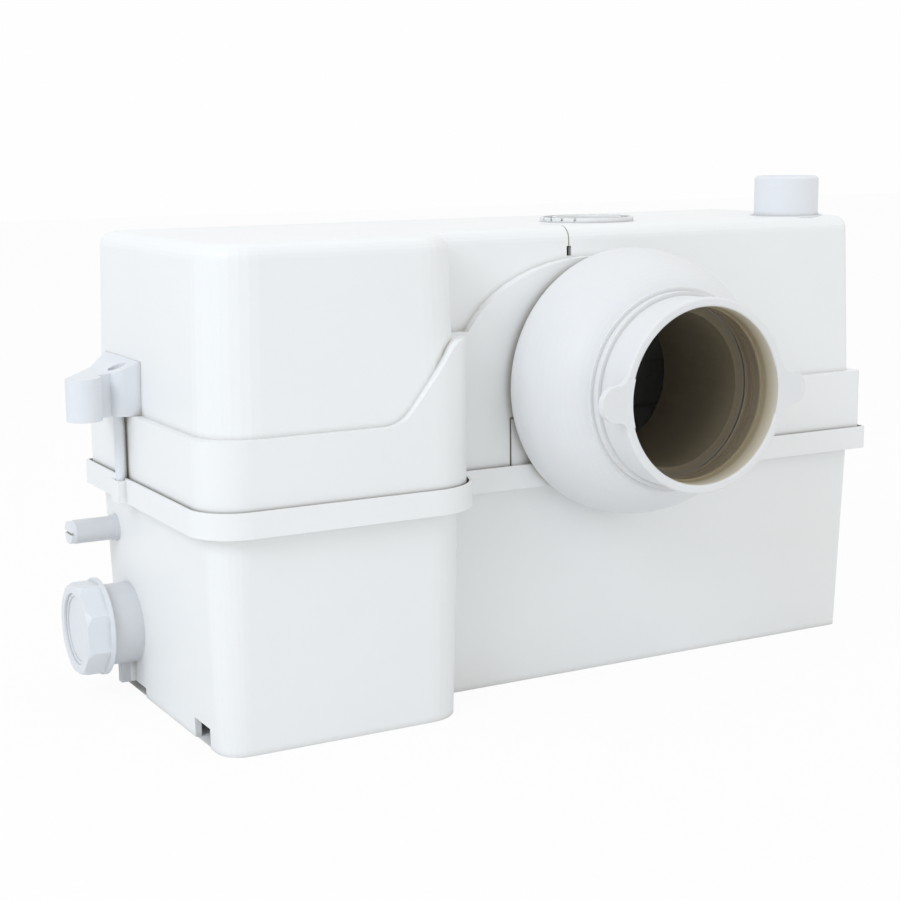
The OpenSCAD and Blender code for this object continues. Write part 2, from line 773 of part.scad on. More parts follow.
module inlet_collar() {
    w = collar_wall;
    bell_top = collar_bulge_r - bell_core_r;
    color(white_rubber) placed() translate([inlet_x, tongue_y, inlet_z]) forward() {
        difference() {
            union() {
                rotate_extrude($fn = 96) polygon(concat(
                    [[nozzle_r + nozzle_wall + fit, 0], [foot_plate_r, 0]],
                    oval([foot_plate_r, bulge_at], collar_bulge_r - foot_plate_r, bulge_at, -60, 0, 4),
                    oval([bell_core_r, bulge_at], bell_top, bell_len, 8, 76, 12),
                    [[step_r[0], step_at[0]], [step_r[1], step_at[0]], [step_r[1], step_at[1]],
                        [step_r[2], step_at[1]], [step_r[2], collar_len - rim_len],
                        [rim_r, collar_len - rim_len]],
                    arc([rim_r - rim_round, collar_len - rim_round], rim_round, 0, 90, 4),
                    arc([mouth_r + rim_round, collar_len - rim_round], rim_round, 90, 180, 4),
                    [[mouth_r, lip_at[1]], [back_r, lip_at[1]], [back_r, step_at[1] - w]],
                    oval([bell_core_r - w, bulge_at], bell_top, bell_len, 70, 8, 10),
                    oval([foot_plate_r - w, bulge_at], collar_bulge_r - foot_plate_r, bulge_at - w,
                        0, -60, 4),
                    [[foot_plate_r - w, w], [nozzle_r + nozzle_wall + fit + w, w],
                        [nozzle_r + nozzle_wall + fit + w, sleeve_len],
                        [nozzle_r + nozzle_wall + fit, sleeve_len]]));
                for (side = [0, 180]) rotate([0, 0, side])
                    translate([0, 0, collar_len - lug_t]) linear_extrude(lug_t) lug_outline();
            }
            translate([0, 0, collar_len - 2 * lug_t]) cylinder(r = mouth_r, h = 3 * lug_t);
            translate([-collar_bulge_r, -2 * collar_bulge_r - inlet_z + rim_top + gap, -over])
                cube([2 * collar_bulge_r, 2 * collar_bulge_r, over + rim_out - skirt_out + gap]);
        }
        for (at = lip_at) translate([0, 0, at]) tube(mouth_r + lip_deep, mouth_r - lip_deep, lip_w);
    }
}

// Dark liner of the nozzle, from the inner face of the wall to just behind the lips of the collar
module nozzle_liner() {
    deep = recess + casing_wall - tongue_y;
    color(taupe_plastic) placed() translate([inlet_x, tongue_y + deep, inlet_z]) forward() {
        tube(nozzle_r - gap, nozzle_r - gap - liner_t, deep + nozzle_len + liner_t);
        translate([0, 0, deep + nozzle_len])
            tube(nozzle_r + nozzle_wall, nozzle_r - gap - liner_t, liner_t);
    }
}

// Clip that holds the sleeve of the collar on the nozzle
clip_t = 1;
clip_w = 7;
module inlet_clip() {
    color(steel) placed() translate([inlet_x, tongue_y - collar_wall - fit, inlet_z]) forward() {
        tube(nozzle_r + nozzle_wall + fit + collar_wall + clip_t,
            nozzle_r + nozzle_wall + fit + collar_wall, clip_w);
        translate([-clip_w / 2, nozzle_r + nozzle_wall + collar_wall + clip_t / 2, 0])
            cube([clip_w, clip_w / 2, clip_w]);
    }
}

// Side inlet closure: washer, blanking disc and the cap nut with flats, flange and lip
washer_t = 1.5;
disc_t = 2;
nut_lip_t = 1.6;
nut_flange_t = 2.4;
nut_flange_r = 27.4;
nut_len = 15;
nut_bevel = 1.6;
nut_turn = 26;
module on_side_inlet(x) { translate([-x, side_y, side_z]) along_left() children(); }

module side_washer() {
    color(black_rubber) placed() on_side_inlet(stub_reach) tube(stub_r - gap / 2, stub_bore_r, washer_t);
}

// Disc with a shallow dish in its face
dish_deep = 0.8;
module blanking_disc() {
    color(grey_plastic) placed() on_side_inlet(stub_reach + washer_t) difference() {
        cylinder(r = stub_r - gap / 2, h = disc_t);
        translate([0, 0, disc_t - dish_deep]) cylinder(r = stub_bore_r - disc_t, h = disc_t);
    }
}

module side_cap_nut() {
    front = washer_t + disc_t + nut_lip_t;
    color(grey_plastic) placed() on_side_inlet(stub_reach + front - nut_len) difference() {
        union() {
            intersection() {
                rotate([0, 0, nut_turn]) cylinder(r = nut_r, h = nut_len, $fn = nut_flats);
                rotate_extrude() polygon([[0, 0], [nut_r, 0], [nut_r, nut_len - 2 * nut_bevel],
                    [nut_r - nut_bevel, nut_len], [0, nut_len]]);
            }
            cylinder(r = nut_flange_r, h = nut_flange_t);
        }
        translate([0, 0, -over]) cylinder(r = stub_r + gap, h = nut_len - nut_lip_t + over);
        cylinder(r = stub_bore_r, h = nut_len + over);
    }
}

// Flap that closes the inner end of the side inlet, hung from a pin
flap_t = 2;
flap_arm_w = 10;
side_flap_r = stub_r - 2 * gap;
module side_flap() {
    color(black_rubber) placed() {
        translate([stub_root + gap, side_y, side_z]) along_x() cylinder(r = side_flap_r, h = flap_t);
        translate([0, side_y - flap_arm_w / 2, 0]) difference() {
            union() {
                translate([stub_root + gap, 0, side_z + stub_r / 2])
                    cube([flap_t, flap_arm_w, side_pin_z - side_z - stub_r / 2]);
                translate([side_pin_x, 0, side_pin_z]) rotate([-90, 0, 0])
                    cylinder(r = flap_lug_t, h = flap_arm_w);
            }
            translate([side_pin_x, -over, side_pin_z]) rotate([-90, 0, 0])
                cylinder(r = flap_pin_r + fit, h = flap_arm_w + 2 * over);
        }
    }
}

module side_flap_pin() {
    color(steel) placed() translate([side_pin_x, side_y - flap_pin_half, side_pin_z])
        rotate([-90, 0, 0]) cylinder(r = flap_pin_r, h = 2 * flap_pin_half);
}

// Push-in plug of the drain spigot, with a slotted head
plug_in = 12;
plug_head = 3.2;
plug_slot = 1.4;
module drain_plug() {
    color(grey_plastic) placed() translate([-drain_reach, drain_y, drain_z]) along_left()
        difference() {
            union() {
                translate([0, 0, -plug_in]) cylinder(r = drain_bore_r - gap, h = plug_in + slice);
                cylinder(r = drain_r - gap, h = plug_head);
            }
            translate([-plug_slot / 2, -drain_r - over, plug_head - plug_slot])
                cube([plug_slot, 2 * (drain_r + over), plug_slot + over]);
        }
}

// Gland in the back wall, flush with the belt, with the opening for a cable
gland_bore_r = 3.8;
gland_flange_r = 11;
gland_flange_t = 2.2;
module cable_gland() {
    tilt = draft_share * gland_flange_r;
    wall_y = casing_depth + draft_share * gland_z + tilt;
    color(black_rubber) placed() translate([gland_x, wall_y + gland_flange_t + slice, gland_z])
        forward() difference() {
            union() {
                cylinder(r = gland_flange_r, h = gland_flange_t);
                cylinder(r = gland_r, h = gland_flange_t + casing_wall + 2 * gland_flange_t);
                translate([0, 0, gland_flange_t + casing_wall + 2 * tilt + 2 * slice])
                    cylinder(r = gland_flange_r, h = 2 * gland_flange_t);
            }
            translate([0, 0, -over])
                cylinder(r = gland_bore_r, h = casing_wall + 4 * gland_flange_t + 2 * over);
        }
}

// Levels of the pump and motor stack, from the tank floor up
volute_z = floor_top + foot_h;
cover_z = volute_z + volute_h;
cover_t = 3.5;
basket_z = cover_z + cover_t;
deck_z = basket_z + basket_h;
deck_t = 4;
can_z = deck_z + deck_t;
can_wall = 2.5;
can_top = can_z + can_h;
module on_motor(z) { translate([motor_x, motor_y, z]) children(); }

// Where the four columns and feet stand round the motor axis
column_r = 4;
column_at = 58;
lug_pad_r = 7.5;
foot_share = 0.93;
module each_column() { for (a = [0:90:270]) rotate([0, 0, a]) translate([column_at, 0, 0]) children(); }

module pump_feet() {
    color(black_rubber) placed() on_motor(floor_top) each_column()
        cylinder(r = foot_share * lug_pad_r, h = foot_h);
}

// Volute casing: a scroll that widens towards the outlet, four lugs and the outlet branch
volute_wall = 3;
pipe_rise_share = 0.56;
pipe_z = volute_z + pipe_rise_share * volute_h;
scroll_share = 0.3;
scroll_start = -60;
branch_len = 66;
branch_root = 10;
function scroll(r) = [for (i = [0:48]) let (a = scroll_start - 30 + i * 7.5)
    r * (1 + scroll_share * (i / 48)) * [cos(a), -sin(a)]];
chamber_gain_share = 0.09;
chamber_r = (1 + chamber_gain_share) * impeller_r;
module volute_casing() {
    branch_y = riser_y - motor_y;
    color(grey_plastic) placed() on_motor(volute_z) difference() {
        union() {
            linear_extrude(volute_h) union() {
                polygon(scroll(chamber_r + volute_wall));
                circle(r = chamber_r + volute_wall);
            }
            translate([0, branch_y, pipe_z - volute_z]) along_x()
                cylinder(r = pipe_r, h = branch_len);
            each_column() cylinder(r = lug_pad_r, h = volute_wall);
            for (a = [0:90:270]) rotate([0, 0, a]) translate([0, -lug_pad_r, 0])
                cube([column_at, 2 * lug_pad_r, volute_wall]);
        }
        translate([0, 0, volute_wall]) linear_extrude(volute_h) union() {
            polygon(scroll(chamber_r));
            circle(r = chamber_r);
        }
        translate([branch_root, branch_y, pipe_z - volute_z]) along_x()
            cylinder(r = pipe_bore_r, h = branch_len);
        translate([0, 0, volute_h]) cylinder(r = basket_r + gap, h = pipe_r);
    }
}

// Cover between the grinder and the pump, with the suction eye
eye_r = 20;
module suction_cover() {
    color(grey_plastic) placed() on_motor(cover_z) difference() {
        union() {
            cylinder(r = basket_r, h = cover_t);
            translate([0, 0, -eye_lip]) cylinder(r = eye_r + eye_lip, h = eye_lip + slice);
        }
        translate([0, 0, -eye_lip - over]) cylinder(r = eye_r, h = cover_t + eye_lip + 2 * over);
    }
}

// Semi-open impeller: hub, back plate and swept vanes
eye_lip = 1.5;
hub_r = 10;
plate_t = 3;
impeller_lift = 2;
vane_t = 2.5;
vane_bend_r = 26;
module impeller() {
    h = volute_h - volute_wall - impeller_lift - eye_lip - gap;
    color(grey_plastic) placed() on_motor(volute_z + volute_wall + impeller_lift) difference() {
        union() {
            cylinder(r = impeller_r, h = plate_t);
            cylinder(r = hub_r, h = h);
            intersection() {
                cylinder(r = impeller_r, h = h);
                for (i = [0:impeller_vanes - 1]) rotate([0, 0, 360 * i / impeller_vanes])
                    intersection() {
                        translate([impeller_r / 2, vane_bend_r - vane_t, 0])
                            tube(vane_bend_r, vane_bend_r - vane_t, h);
                        translate([impeller_r / 4, -vane_t, 0]) cube([impeller_r, vane_bend_r, h]);
                    }
            }
        }
        translate([0, 0, -over]) cylinder(r = shaft_r + fit / 4, h = volute_h);
    }
}

// Cutter: two arms on a hub with upturned, bevelled tips
cutter_lift = 4;
cutter_z = basket_z + cutter_lift;
cutter_hub_r = 13;
cutter_hub_h = 16;
arm_w = 14;
arm_t = 4;
tip_h = 16;
tip_t = 4;
module cutter_blade() {
    color(steel) placed() on_motor(cutter_z) difference() {
        union() {
            cylinder(r = cutter_hub_r, h = cutter_hub_h);
            intersection() {
                cylinder(r = cutter_r, h = tip_h);
                union() {
                    translate([-cutter_r, -arm_w / 2, 0]) cube([2 * cutter_r, arm_w, arm_t]);
                    for (a = [0, 180]) rotate([0, 0, a])
                        translate([cutter_r - tip_t, 0, 0]) forward()
                            translate([0, 0, -arm_w / 2]) linear_extrude(arm_w)
                                polygon([[0, 0], [tip_t, 0], [tip_t, tip_h], [tip_t / 2, tip_h],
                                    [0, tip_h - tip_t]]);
                }
            }
        }
        translate([0, 0, -over]) cylinder(r = shaft_r + fit / 4, h = cutter_hub_h + 2 * over);
    }
}

// Grinder basket: slotted drum between two rings
basket_wall = 3;
basket_ring_h = 5;
slot_wide = 5;
module grinder_basket() {
    color(grey_plastic) placed() on_motor(basket_z) difference() {
        tube(basket_r, basket_r - basket_wall, basket_h);
        for (i = [0:basket_slots / 2 - 1]) rotate([0, 0, 360 * (i + 0.5) / basket_slots])
            translate([-basket_r - over, -slot_wide / 2, basket_ring_h])
                cube([2 * (basket_r + over), slot_wide, basket_h - 2 * basket_ring_h]);
    }
}

// Deck plate that carries the motor, the capacitor and the pressure bell
deck_round = 12;
deck_edge = 6;
seal_r = 12;
module deck_plate() {
    left = motor_x - column_at - column_r;
    bay_front = motor_y - column_at - column_r;
    bay_right = motor_x + column_at;
    right = bell_x + bell_r + 2 * deck_edge;
    back = motor_y + column_at;
    color(steel) placed() translate([0, 0, deck_z]) difference() {
        linear_extrude(deck_t) {
            round_rect(left, bay_front, bay_right, back, [deck_round, deck_round, deck_round, deck_round]);
            round_rect(left, recess + deck_edge, right, back, [for (i = [0:3]) deck_round]);
            translate([motor_x, motor_y]) for (a = [0:90:270]) rotate(a) translate([column_at, 0])
                circle(r = lug_pad_r);
        }
        translate([motor_x, motor_y, -over]) {
            cylinder(r = seal_r, h = deck_t + 2 * over);
            each_ear() cylinder(r = screw_r + fit, h = deck_t + 2 * over);
        }
        translate([bell_x, bell_y, -over]) cylinder(r = bell_r + fit, h = deck_t + 2 * over);
    }
}

module deck_columns() {
    color(steel) placed() on_motor(volute_z + volute_wall) each_column()
        cylinder(r = column_r, h = deck_z - volute_z - volute_wall);
}

// Lip seal pressed into the deck
seal_h = 7;
module shaft_seal() {
    color(black_rubber) placed() on_motor(can_z - seal_h) tube(seal_r - fit / 2, shaft_r + gap, seal_h);
}

// Motor can: drawn can, flange with four ears and the seat of the lower bearing
can_flange_t = 2.5;
can_flange_out = 3;
ear_r = 6;
ear_out = 5;
screw_r = 2;
screw_head_r = 3.6;
screw_head_h = 2.4;
bearing_r = 15;
bearing_h = 9;
bearing_seat_t = 3;
module each_ear() { for (a = [45:90:315]) rotate([0, 0, a]) translate([can_r + ear_out, 0, 0]) children(); }
module motor_can() {
    color(steel) placed() on_motor(can_z) difference() {
        union() {
            cylinder(r = can_r, h = can_h);
            cylinder(r = can_r + can_flange_out, h = can_flange_t);
            each_ear() cylinder(r = ear_r, h = can_flange_t);
        }
        difference() {
            translate([0, 0, can_wall]) cylinder(r = can_r - can_wall, h = can_h);
            cylinder(r = bearing_r + bearing_seat_t, h = can_wall + bearing_h);
        }
        translate([0, 0, can_wall]) cylinder(r = bearing_r + fit / 2, h = bearing_h + over);
        translate([0, 0, -over]) cylinder(r = bearing_r - bearing_seat_t, h = bearing_h);
        each_ear() translate([0, 0, -over]) cylinder(r = screw_r + fit, h = can_flange_t + 2 * over);
    }
}

// Rolling bearing as two races and a ring of balls
module bearing(outer_r, h) {
    race = (outer_r - shaft_r) / 4;
    mid = (outer_r + shaft_r) / 2;
    tube(outer_r, outer_r - race, h);
    tube(shaft_r + race, shaft_r + fit / 4, h);
    for (a = [0:45:315]) rotate([0, 0, a]) translate([mid, 0, h / 2]) sphere(r = race - fit, $fn = 24);
}

module lower_bearing() { color(steel) placed() on_motor(can_z + can_wall) bearing(bearing_r, bearing_h); }

// Motor cap: domed cover with the seat of the upper bearing
cap_h = 17;
cap_skirt = 4;
cap_dome_r = 5;
upper_bearing_r = 13;
upper_bearing_h = 8;
module motor_cap() {
    t = can_wall;
    color(steel) placed() on_motor(can_top) {
        difference() {
            rotate_extrude() polygon(concat(
                [[0, -cap_skirt], [can_r - t - fit, -cap_skirt], [can_r - t - fit, 0], [can_r, 0],
                    [can_r, cap_h - cap_dome_r]],
                arc([can_r - cap_dome_r, cap_h - cap_dome_r], cap_dome_r, 15, 90, 5), [[0, cap_h]]));
            translate([0, 0, -cap_skirt - over])
                cylinder(r = can_r - 2 * t, h = cap_skirt + cap_h - t + over);
        }
        translate([0, 0, -cap_skirt])
            tube(upper_bearing_r + t, upper_bearing_r + fit / 2, cap_skirt + cap_h - t);
    }
}

module upper_bearing() {
    color(steel) placed() on_motor(can_top - cap_skirt) bearing(upper_bearing_r, upper_bearing_h);
}

// Stator stack with its windings above and below
stator_lift = 26;
stator_z = can_z + stator_lift;
stator_h = 54;
stator_bore_r = 29;
winding_r = 47;
winding_bore_r = 31;
winding_h = 13;
module stator_core() {
    color(core_grey) placed() on_motor(stator_z)
        tube(can_r - can_wall - fit / 2, stator_bore_r, stator_h);
}

module stator_windings() {
    color(copper) placed() on_motor(stator_z) for (z = [-winding_h, stator_h]) translate([0, 0, z])
        rotate_extrude() round_rect(winding_bore_r, 0, winding_r, winding_h,
            [3 / 13 * winding_h, 3 / 13 * winding_h, 3 / 13 * winding_h, 3 / 13 * winding_h]);
}

rotor_gap = 0.6;
module rotor_core() {
    color(core_grey) placed() on_motor(stator_z)
        tube(stator_bore_r - rotor_gap, shaft_r + fit / 4, stator_h);
}

// Shaft from the impeller to the upper bearing
shaft_foot = 1;
module motor_shaft() {
    foot = volute_z + volute_wall + shaft_foot;
    color(steel) placed() on_motor(foot)
        cylinder(r = shaft_r, h = can_top - cap_skirt + upper_bearing_h + shaft_foot - foot);
}

// Screws that hold the motor flange to the deck
module motor_screws() {
    color(steel) placed() on_motor(deck_z - deck_t / 2) each_ear() {
        cylinder(r = screw_r, h = 3 / 2 * deck_t + can_flange_t + slice);
        translate([0, 0, 3 / 2 * deck_t + can_flange_t]) difference() {
            cylinder(r = screw_head_r, h = screw_head_h);
            translate([0, 0, screw_head_h / 2]) cylinder(r = screw_r, h = screw_head_h, $fn = 6);
        }
    }
}

// Capacitor standing in a cup on the deck
capacitor_x = 160;
capacitor_y = 70;
capacitor_r = 18;
capacitor_h = 72;
cup_wall = 2;
cup_h = 22;
module capacitor_cup() {
    color(white_plastic) placed() translate([capacitor_x, capacitor_y, can_z]) difference() {
        cylinder(r = capacitor_r + gap / 2 + cup_wall, h = cup_h);
        translate([0, 0, cup_wall]) cylinder(r = capacitor_r + gap / 2, h = cup_h);
    }
}

terminal_r = 2;
terminal_h = 5;
module capacitor() {
    color(white_plastic) placed() translate([capacitor_x, capacitor_y, can_z + cup_wall]) {
        cylinder(r = capacitor_r, h = capacitor_h);
        for (side = [-1, 1]) translate([side * capacitor_r / 2, 0, capacitor_h - slice])
            cylinder(r = terminal_r, h = terminal_h);
    }
}

// Terminal box on the motor cap
box_l = 52;
box_w = 36;
box_h = 13;
box_wall = 2;
box_lid_t = 2.5;
module terminal_box() {
    color(grey_plastic) placed() on_motor(can_top + cap_h) translate([-box_l / 2, -box_w / 2, 0])
        difference() {
            cube([box_l, box_w, box_h]);
            translate([box_wall, box_wall, box_wall])
                cube([box_l - 2 * box_wall, box_w - 2 * box_wall, box_h]);
        }
}

module terminal_lid() {
    color(grey_plastic) placed() on_motor(can_top + cap_h + box_h)
        translate([-box_l / 2, -box_w / 2, 0]) {
            cube([box_l, box_w, box_lid_t]);
            translate([box_wall + fit, box_wall + fit, -box_lid_t])
                cube([box_l - 2 * (box_wall + fit), box_w - 2 * (box_wall + fit), box_lid_t + slice]);
        }
}

// Pressure bell: open tube through the deck, collar on the deck and bowl under the membrane
bell_wall = 2;
bell_foot = 9;
bell_collar_out = 6;
bell_collar_h = 4;
bowl_r = 28;
bowl_h = 14;
bowl_lift = 24;
bowl_z = can_z + bowl_lift;
bowl_wall = 3;
module on_bell(z) { translate([bell_x, bell_y, z]) children(); }
module pressure_bell() {
    foot = floor_top + bell_foot;
    color(grey_plastic) placed() difference() {
        union() {
            on_bell(foot) cylinder(r = bell_r, h = bowl_z - foot + slice);
            on_bell(can_z) cylinder(r = bell_r + bell_collar_out, h = bell_collar_h);
            on_bell(bowl_z) cylinder(r = bowl_r, h = bowl_h);
        }
        on_bell(foot - over) cylinder(r = bell_r - bell_wall, h = bowl_z + bowl_h - foot);
        on_bell(bowl_z + bowl_wall) cylinder(r = bowl_r - bowl_wall, h = bowl_h);
    }
}

// Rubber membrane clamped between bowl and cover, round the plate of the pusher
membrane_t = 1.2;
pusher_r = 17;
membrane_z = bowl_z + bowl_h;
module membrane() {
    color(black_rubber) placed() on_bell(membrane_z) tube(bowl_r, pusher_r + gap, membrane_t);
}

// Cover with a hole for the stem of the pusher
dish_h = 8;
stem_r = 3;
module membrane_cover() {
    color(grey_plastic) placed() on_bell(membrane_z + membrane_t) difference() {
        cylinder(r = bowl_r, h = dish_h);
        translate([0, 0, -over]) cylinder(r = bowl_r - bowl_wall, h = dish_h - bowl_wall + over);
        cylinder(r = stem_r + gap, h = dish_h + over);
    }
}

// Pusher: plate on the membrane, stem through the cover and a narrow tip under the lever
lever_lift = 7;
lever_z = membrane_z + membrane_t + dish_h + lever_lift;
lever_t = 0.8;
tip_r = 1;
tip_gap = 0.4;
tip_len = 2;
module switch_pusher() {
    base = membrane_z - membrane_t / 2;
    top = lever_z - tip_gap;
    color(grey_plastic) placed() on_bell(base) {
        cylinder(r = pusher_r, h = 2 * membrane_t);
        cylinder(r = stem_r, h = top - tip_len - base);
        cylinder(r = tip_r, h = top - base);
    }
}

// Bracket on the cover that carries the switch and the lever pin
lever_arm = 12;
lever_w = 5;
lever_end = 2;
pin_r = 0.8;
switch_l = 28;
switch_w = 8;
switch_h = 15;
bracket_t = 2;
switch_lift = 4.6;
bracket_y = lever_w / 2 + gap + switch_w / 4;
module switch_bracket() {
    foot = membrane_z + membrane_t + dish_h;
    color(steel) placed() on_bell(foot) {
        translate([-lever_arm - lever_w / 2, bracket_y, 0])
            cube([switch_l, bracket_t, lever_z - foot + switch_lift + switch_h]);
        translate([-lever_arm - lever_w / 2, bracket_y, 0])
            cube([switch_l, 3 * bracket_t, bracket_t]);
        translate([-lever_arm, bracket_y + slice, lever_z - foot + lever_t / 2]) forward()
            cylinder(r = pin_r, h = bracket_y + lever_w / 2 + gap);
    }
}

plunger_x = -lever_arm / 2;
plunger_r = 1.2;
plunger_in = 4;
plunger_nose = 0.8;
module microswitch() {
    color(black_rubber) placed() on_bell(lever_z + switch_lift) difference() {
        translate([-lever_arm - lever_w / 2, bracket_y - switch_w, 0])
            cube([switch_l, switch_w, switch_h]);
        translate([plunger_x, 0, -over]) cylinder(r = plunger_r + gap / 2, h = plunger_in + 2 * over);
    }
}

module switch_lever() {
    color(steel) placed() on_bell(lever_z) difference() {
        union() {
            translate([-lever_arm, -lever_w / 2, 0]) cube([lever_arm + lever_end, lever_w, lever_t]);
            translate([-lever_arm, lever_w / 2, lever_t / 2]) forward()
                cylinder(r = pin_r + lever_t, h = lever_w);
        }
        translate([-lever_arm, lever_w, lever_t / 2]) forward()
            cylinder(r = pin_r + fit, h = 2 * lever_w);
    }
}

module switch_plunger() {
    foot = lever_t + gap;
    color(white_plastic) placed() on_bell(lever_z) translate([plunger_x, 0, foot]) {
        cylinder(r = plunger_r / 3, h = plunger_nose + slice);
        translate([0, 0, plunger_nose])
            cylinder(r = plunger_r,
                h = switch_lift + plunger_in - switch_travel / 2 - over - foot - plunger_nose);
    }
}

// Rubber coupling between the branch and the discharge pipe, with two clips
coupling_wall = 3;
coupling_len = 30;
joint_x = motor_x + branch_len;
pipe_gap = 3;
module on_pipe(x) { translate([x, riser_y, pipe_z]) along_x() children(); }
module hose_coupling() {
    color(black_rubber) placed() on_pipe(joint_x + pipe_gap / 2 - coupling_len / 2)
        tube(pipe_r + fit + coupling_wall, pipe_r + fit, coupling_len);
}

hose_clip_w = 6;
hose_clip_t = 1;
clip_inset = 4;
module hose_clips() {
    mid = joint_x + pipe_gap / 2;
    r = pipe_r + fit + coupling_wall;
    color(steel) placed() for (side = [-1, 1])
        on_pipe(mid + side * (coupling_len / 2 - clip_inset - hose_clip_w / 2) - hose_clip_w / 2) {
            tube(r + hose_clip_t, r, hose_clip_w);
            translate([-r - 2 * hose_clip_w / 3, -hose_clip_w / 2, 0])
                cube([2 * hose_clip_w / 3 - hose_clip_t / 2, hose_clip_w, hose_clip_w]);
        }
}

// Discharge pipe along the floor with its bend up into the valve
bend_r = 21;
bend_lift = 2;
valve_z = pipe_z + bend_r + bend_lift;
socket_len = 18;
module discharge_pipe() {
    start = joint_x + pipe_gap;
    color(grey_plastic) placed() {
        on_pipe(start) tube(pipe_r, pipe_bore_r, riser_x - bend_r - start);
        translate([riser_x - bend_r, riser_y, pipe_z + bend_r]) rotate([90, 0, 0])
            rotate([0, 0, -90]) rotate_extrude(angle = 90) translate([bend_r, 0])
                difference() {
                    circle(r = pipe_r);
                    circle(r = pipe_bore_r);
                }
        translate([riser_x, riser_y, pipe_z + bend_r])
            tube(pipe_r, pipe_bore_r, valve_z - pipe_z - bend_r + socket_len - pipe_gap);
    }
}

// Non-return valve: socket, seat, chamber with pin bores and the socket of the riser
valve_r = 21;
valve_wall = 2.5;
seat_t = 3;
seat_bore_r = 10.5;
chamber_h = 31;
riser_socket = 15;
riser_foot = valve_z + socket_len + seat_t + chamber_h + seat_t;
module on_riser(z) { translate([riser_x, riser_y, z]) children(); }
pin_share = 2 / 3;
pin_x = -pin_share * valve_r;
pin_lift = 3.5;
flap_pin_z = seat_t + pin_lift;
valve_pin_share = 0.64;
valve_pin_half = valve_pin_share * valve_r;
valve_pin_r = 1.4;
module valve_body() {
    h = socket_len + seat_t + chamber_h + seat_t;
    color(grey_plastic) placed() on_riser(valve_z) difference() {
        union() {
            cylinder(r = pipe_r + fit + coupling_wall, h = socket_len + slice);
            translate([0, 0, socket_len]) cylinder(r = valve_r, h = h - socket_len);
            translate([0, 0, h - slice]) cylinder(r = riser_body_r + fit + valve_wall, h = riser_socket);
        }
        translate([0, 0, -over]) cylinder(r = pipe_r + fit, h = socket_len + over);
        cylinder(r = seat_bore_r, h = h);
        translate([0, 0, socket_len + seat_t]) cylinder(r = valve_r - valve_wall, h = chamber_h);
        cylinder(r = riser_r - riser_wall, h = h + over);
        translate([0, 0, h]) cylinder(r = riser_body_r + fit, h = riser_socket + over);
        translate([pin_x, valve_pin_half, socket_len + flap_pin_z]) forward()
            cylinder(r = valve_pin_r + fit, h = 2 * valve_pin_half);
    }
}

// Flap of the non-return valve, hung on its pin
valve_flap_r = 14;
barrel_r = 2.6;
barrel_half = 6;
valve_flap_t = 2;
module valve_flap() {
    seat = socket_len + seat_t;
    color(black_rubber) placed() on_riser(valve_z) difference() {
        union() {
            translate([0, 0, seat + gap / 2]) cylinder(r = valve_flap_r, h = valve_flap_t);
            translate([pin_x, barrel_half, socket_len + flap_pin_z]) forward()
                cylinder(r = barrel_r, h = 2 * barrel_half);
            translate([pin_x, -barrel_half / 2, seat + gap / 2 + valve_flap_t - slice])
                cube([-pin_x, barrel_half, valve_flap_t]);
        }
        translate([pin_x, barrel_half + over, socket_len + flap_pin_z]) forward()
            cylinder(r = valve_pin_r + fit, h = 2 * (barrel_half + over));
    }
}

module flap_pin() {
    color(steel) placed() on_riser(valve_z)
        translate([pin_x, valve_pin_half - fit, socket_len + flap_pin_z]) forward()
            cylinder(r = valve_pin_r, h = 2 * (valve_pin_half - fit));
}

// Riser from the valve through the lid, bevelled at the end of its spigot
riser_bevel = 1.5;
step_up = 1.2;
module riser_pipe() {
    h = lid_top + riser_up - riser_foot;
    bore = riser_r - riser_wall;
    color(grey_plastic) placed() on_riser(riser_foot) rotate_extrude()
        polygon([[bore, 0], [riser_body_r, 0], [riser_body_r, h - riser_up + step_up],
            [riser_r, h - riser_up + step_up], [riser_r, h - riser_bevel], [riser_r - riser_bevel, h],
            [bore + riser_bevel / 2, h], [bore, h - riser_bevel / 2]]);
}

tank();
rim_gasket();
tongue_seal();
lid();
vent_cap();
carbon_filter();
riser_grommet();
lid_clamp();
tie_screw();
inlet_collar();
nozzle_liner();
inlet_clip();
side_washer();
blanking_disc();
side_cap_nut();
side_flap();
side_flap_pin();
drain_plug();
cable_gland();
pump_feet();
volute_casing();
suction_cover();
impeller();
cutter_blade();
grinder_basket();
deck_plate();
deck_columns();
shaft_seal();
motor_can();
motor_cap();
stator_core();
stator_windings();
rotor_core();
motor_shaft();
lower_bearing();
upper_bearing();
motor_screws();
capacitor();
capacitor_cup();
terminal_box();
terminal_lid();
pressure_bell();
membrane();
membrane_cover();
switch_pusher();
switch_bracket();
microswitch();
switch_lever();
switch_plunger();
hose_coupling();
hose_clips();
discharge_pipe();
valve_body();
valve_flap();
flap_pin();
riser_pipe();
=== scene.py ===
# %% [markdown]
# # A floor-standing macerator pump
# The unit is a moulded tank with a belt round its rim, a lift-off lid, a soft WC collar and the pump
# works inside. Its solids come ready from the shared frame, true to size. Here they get their finish,
# their softened edges and the small fittings that only show up close. The object is in metres.

# %% Load the frame and keep its box
import json
import math

import bpy
from mathutils import Matrix, Vector


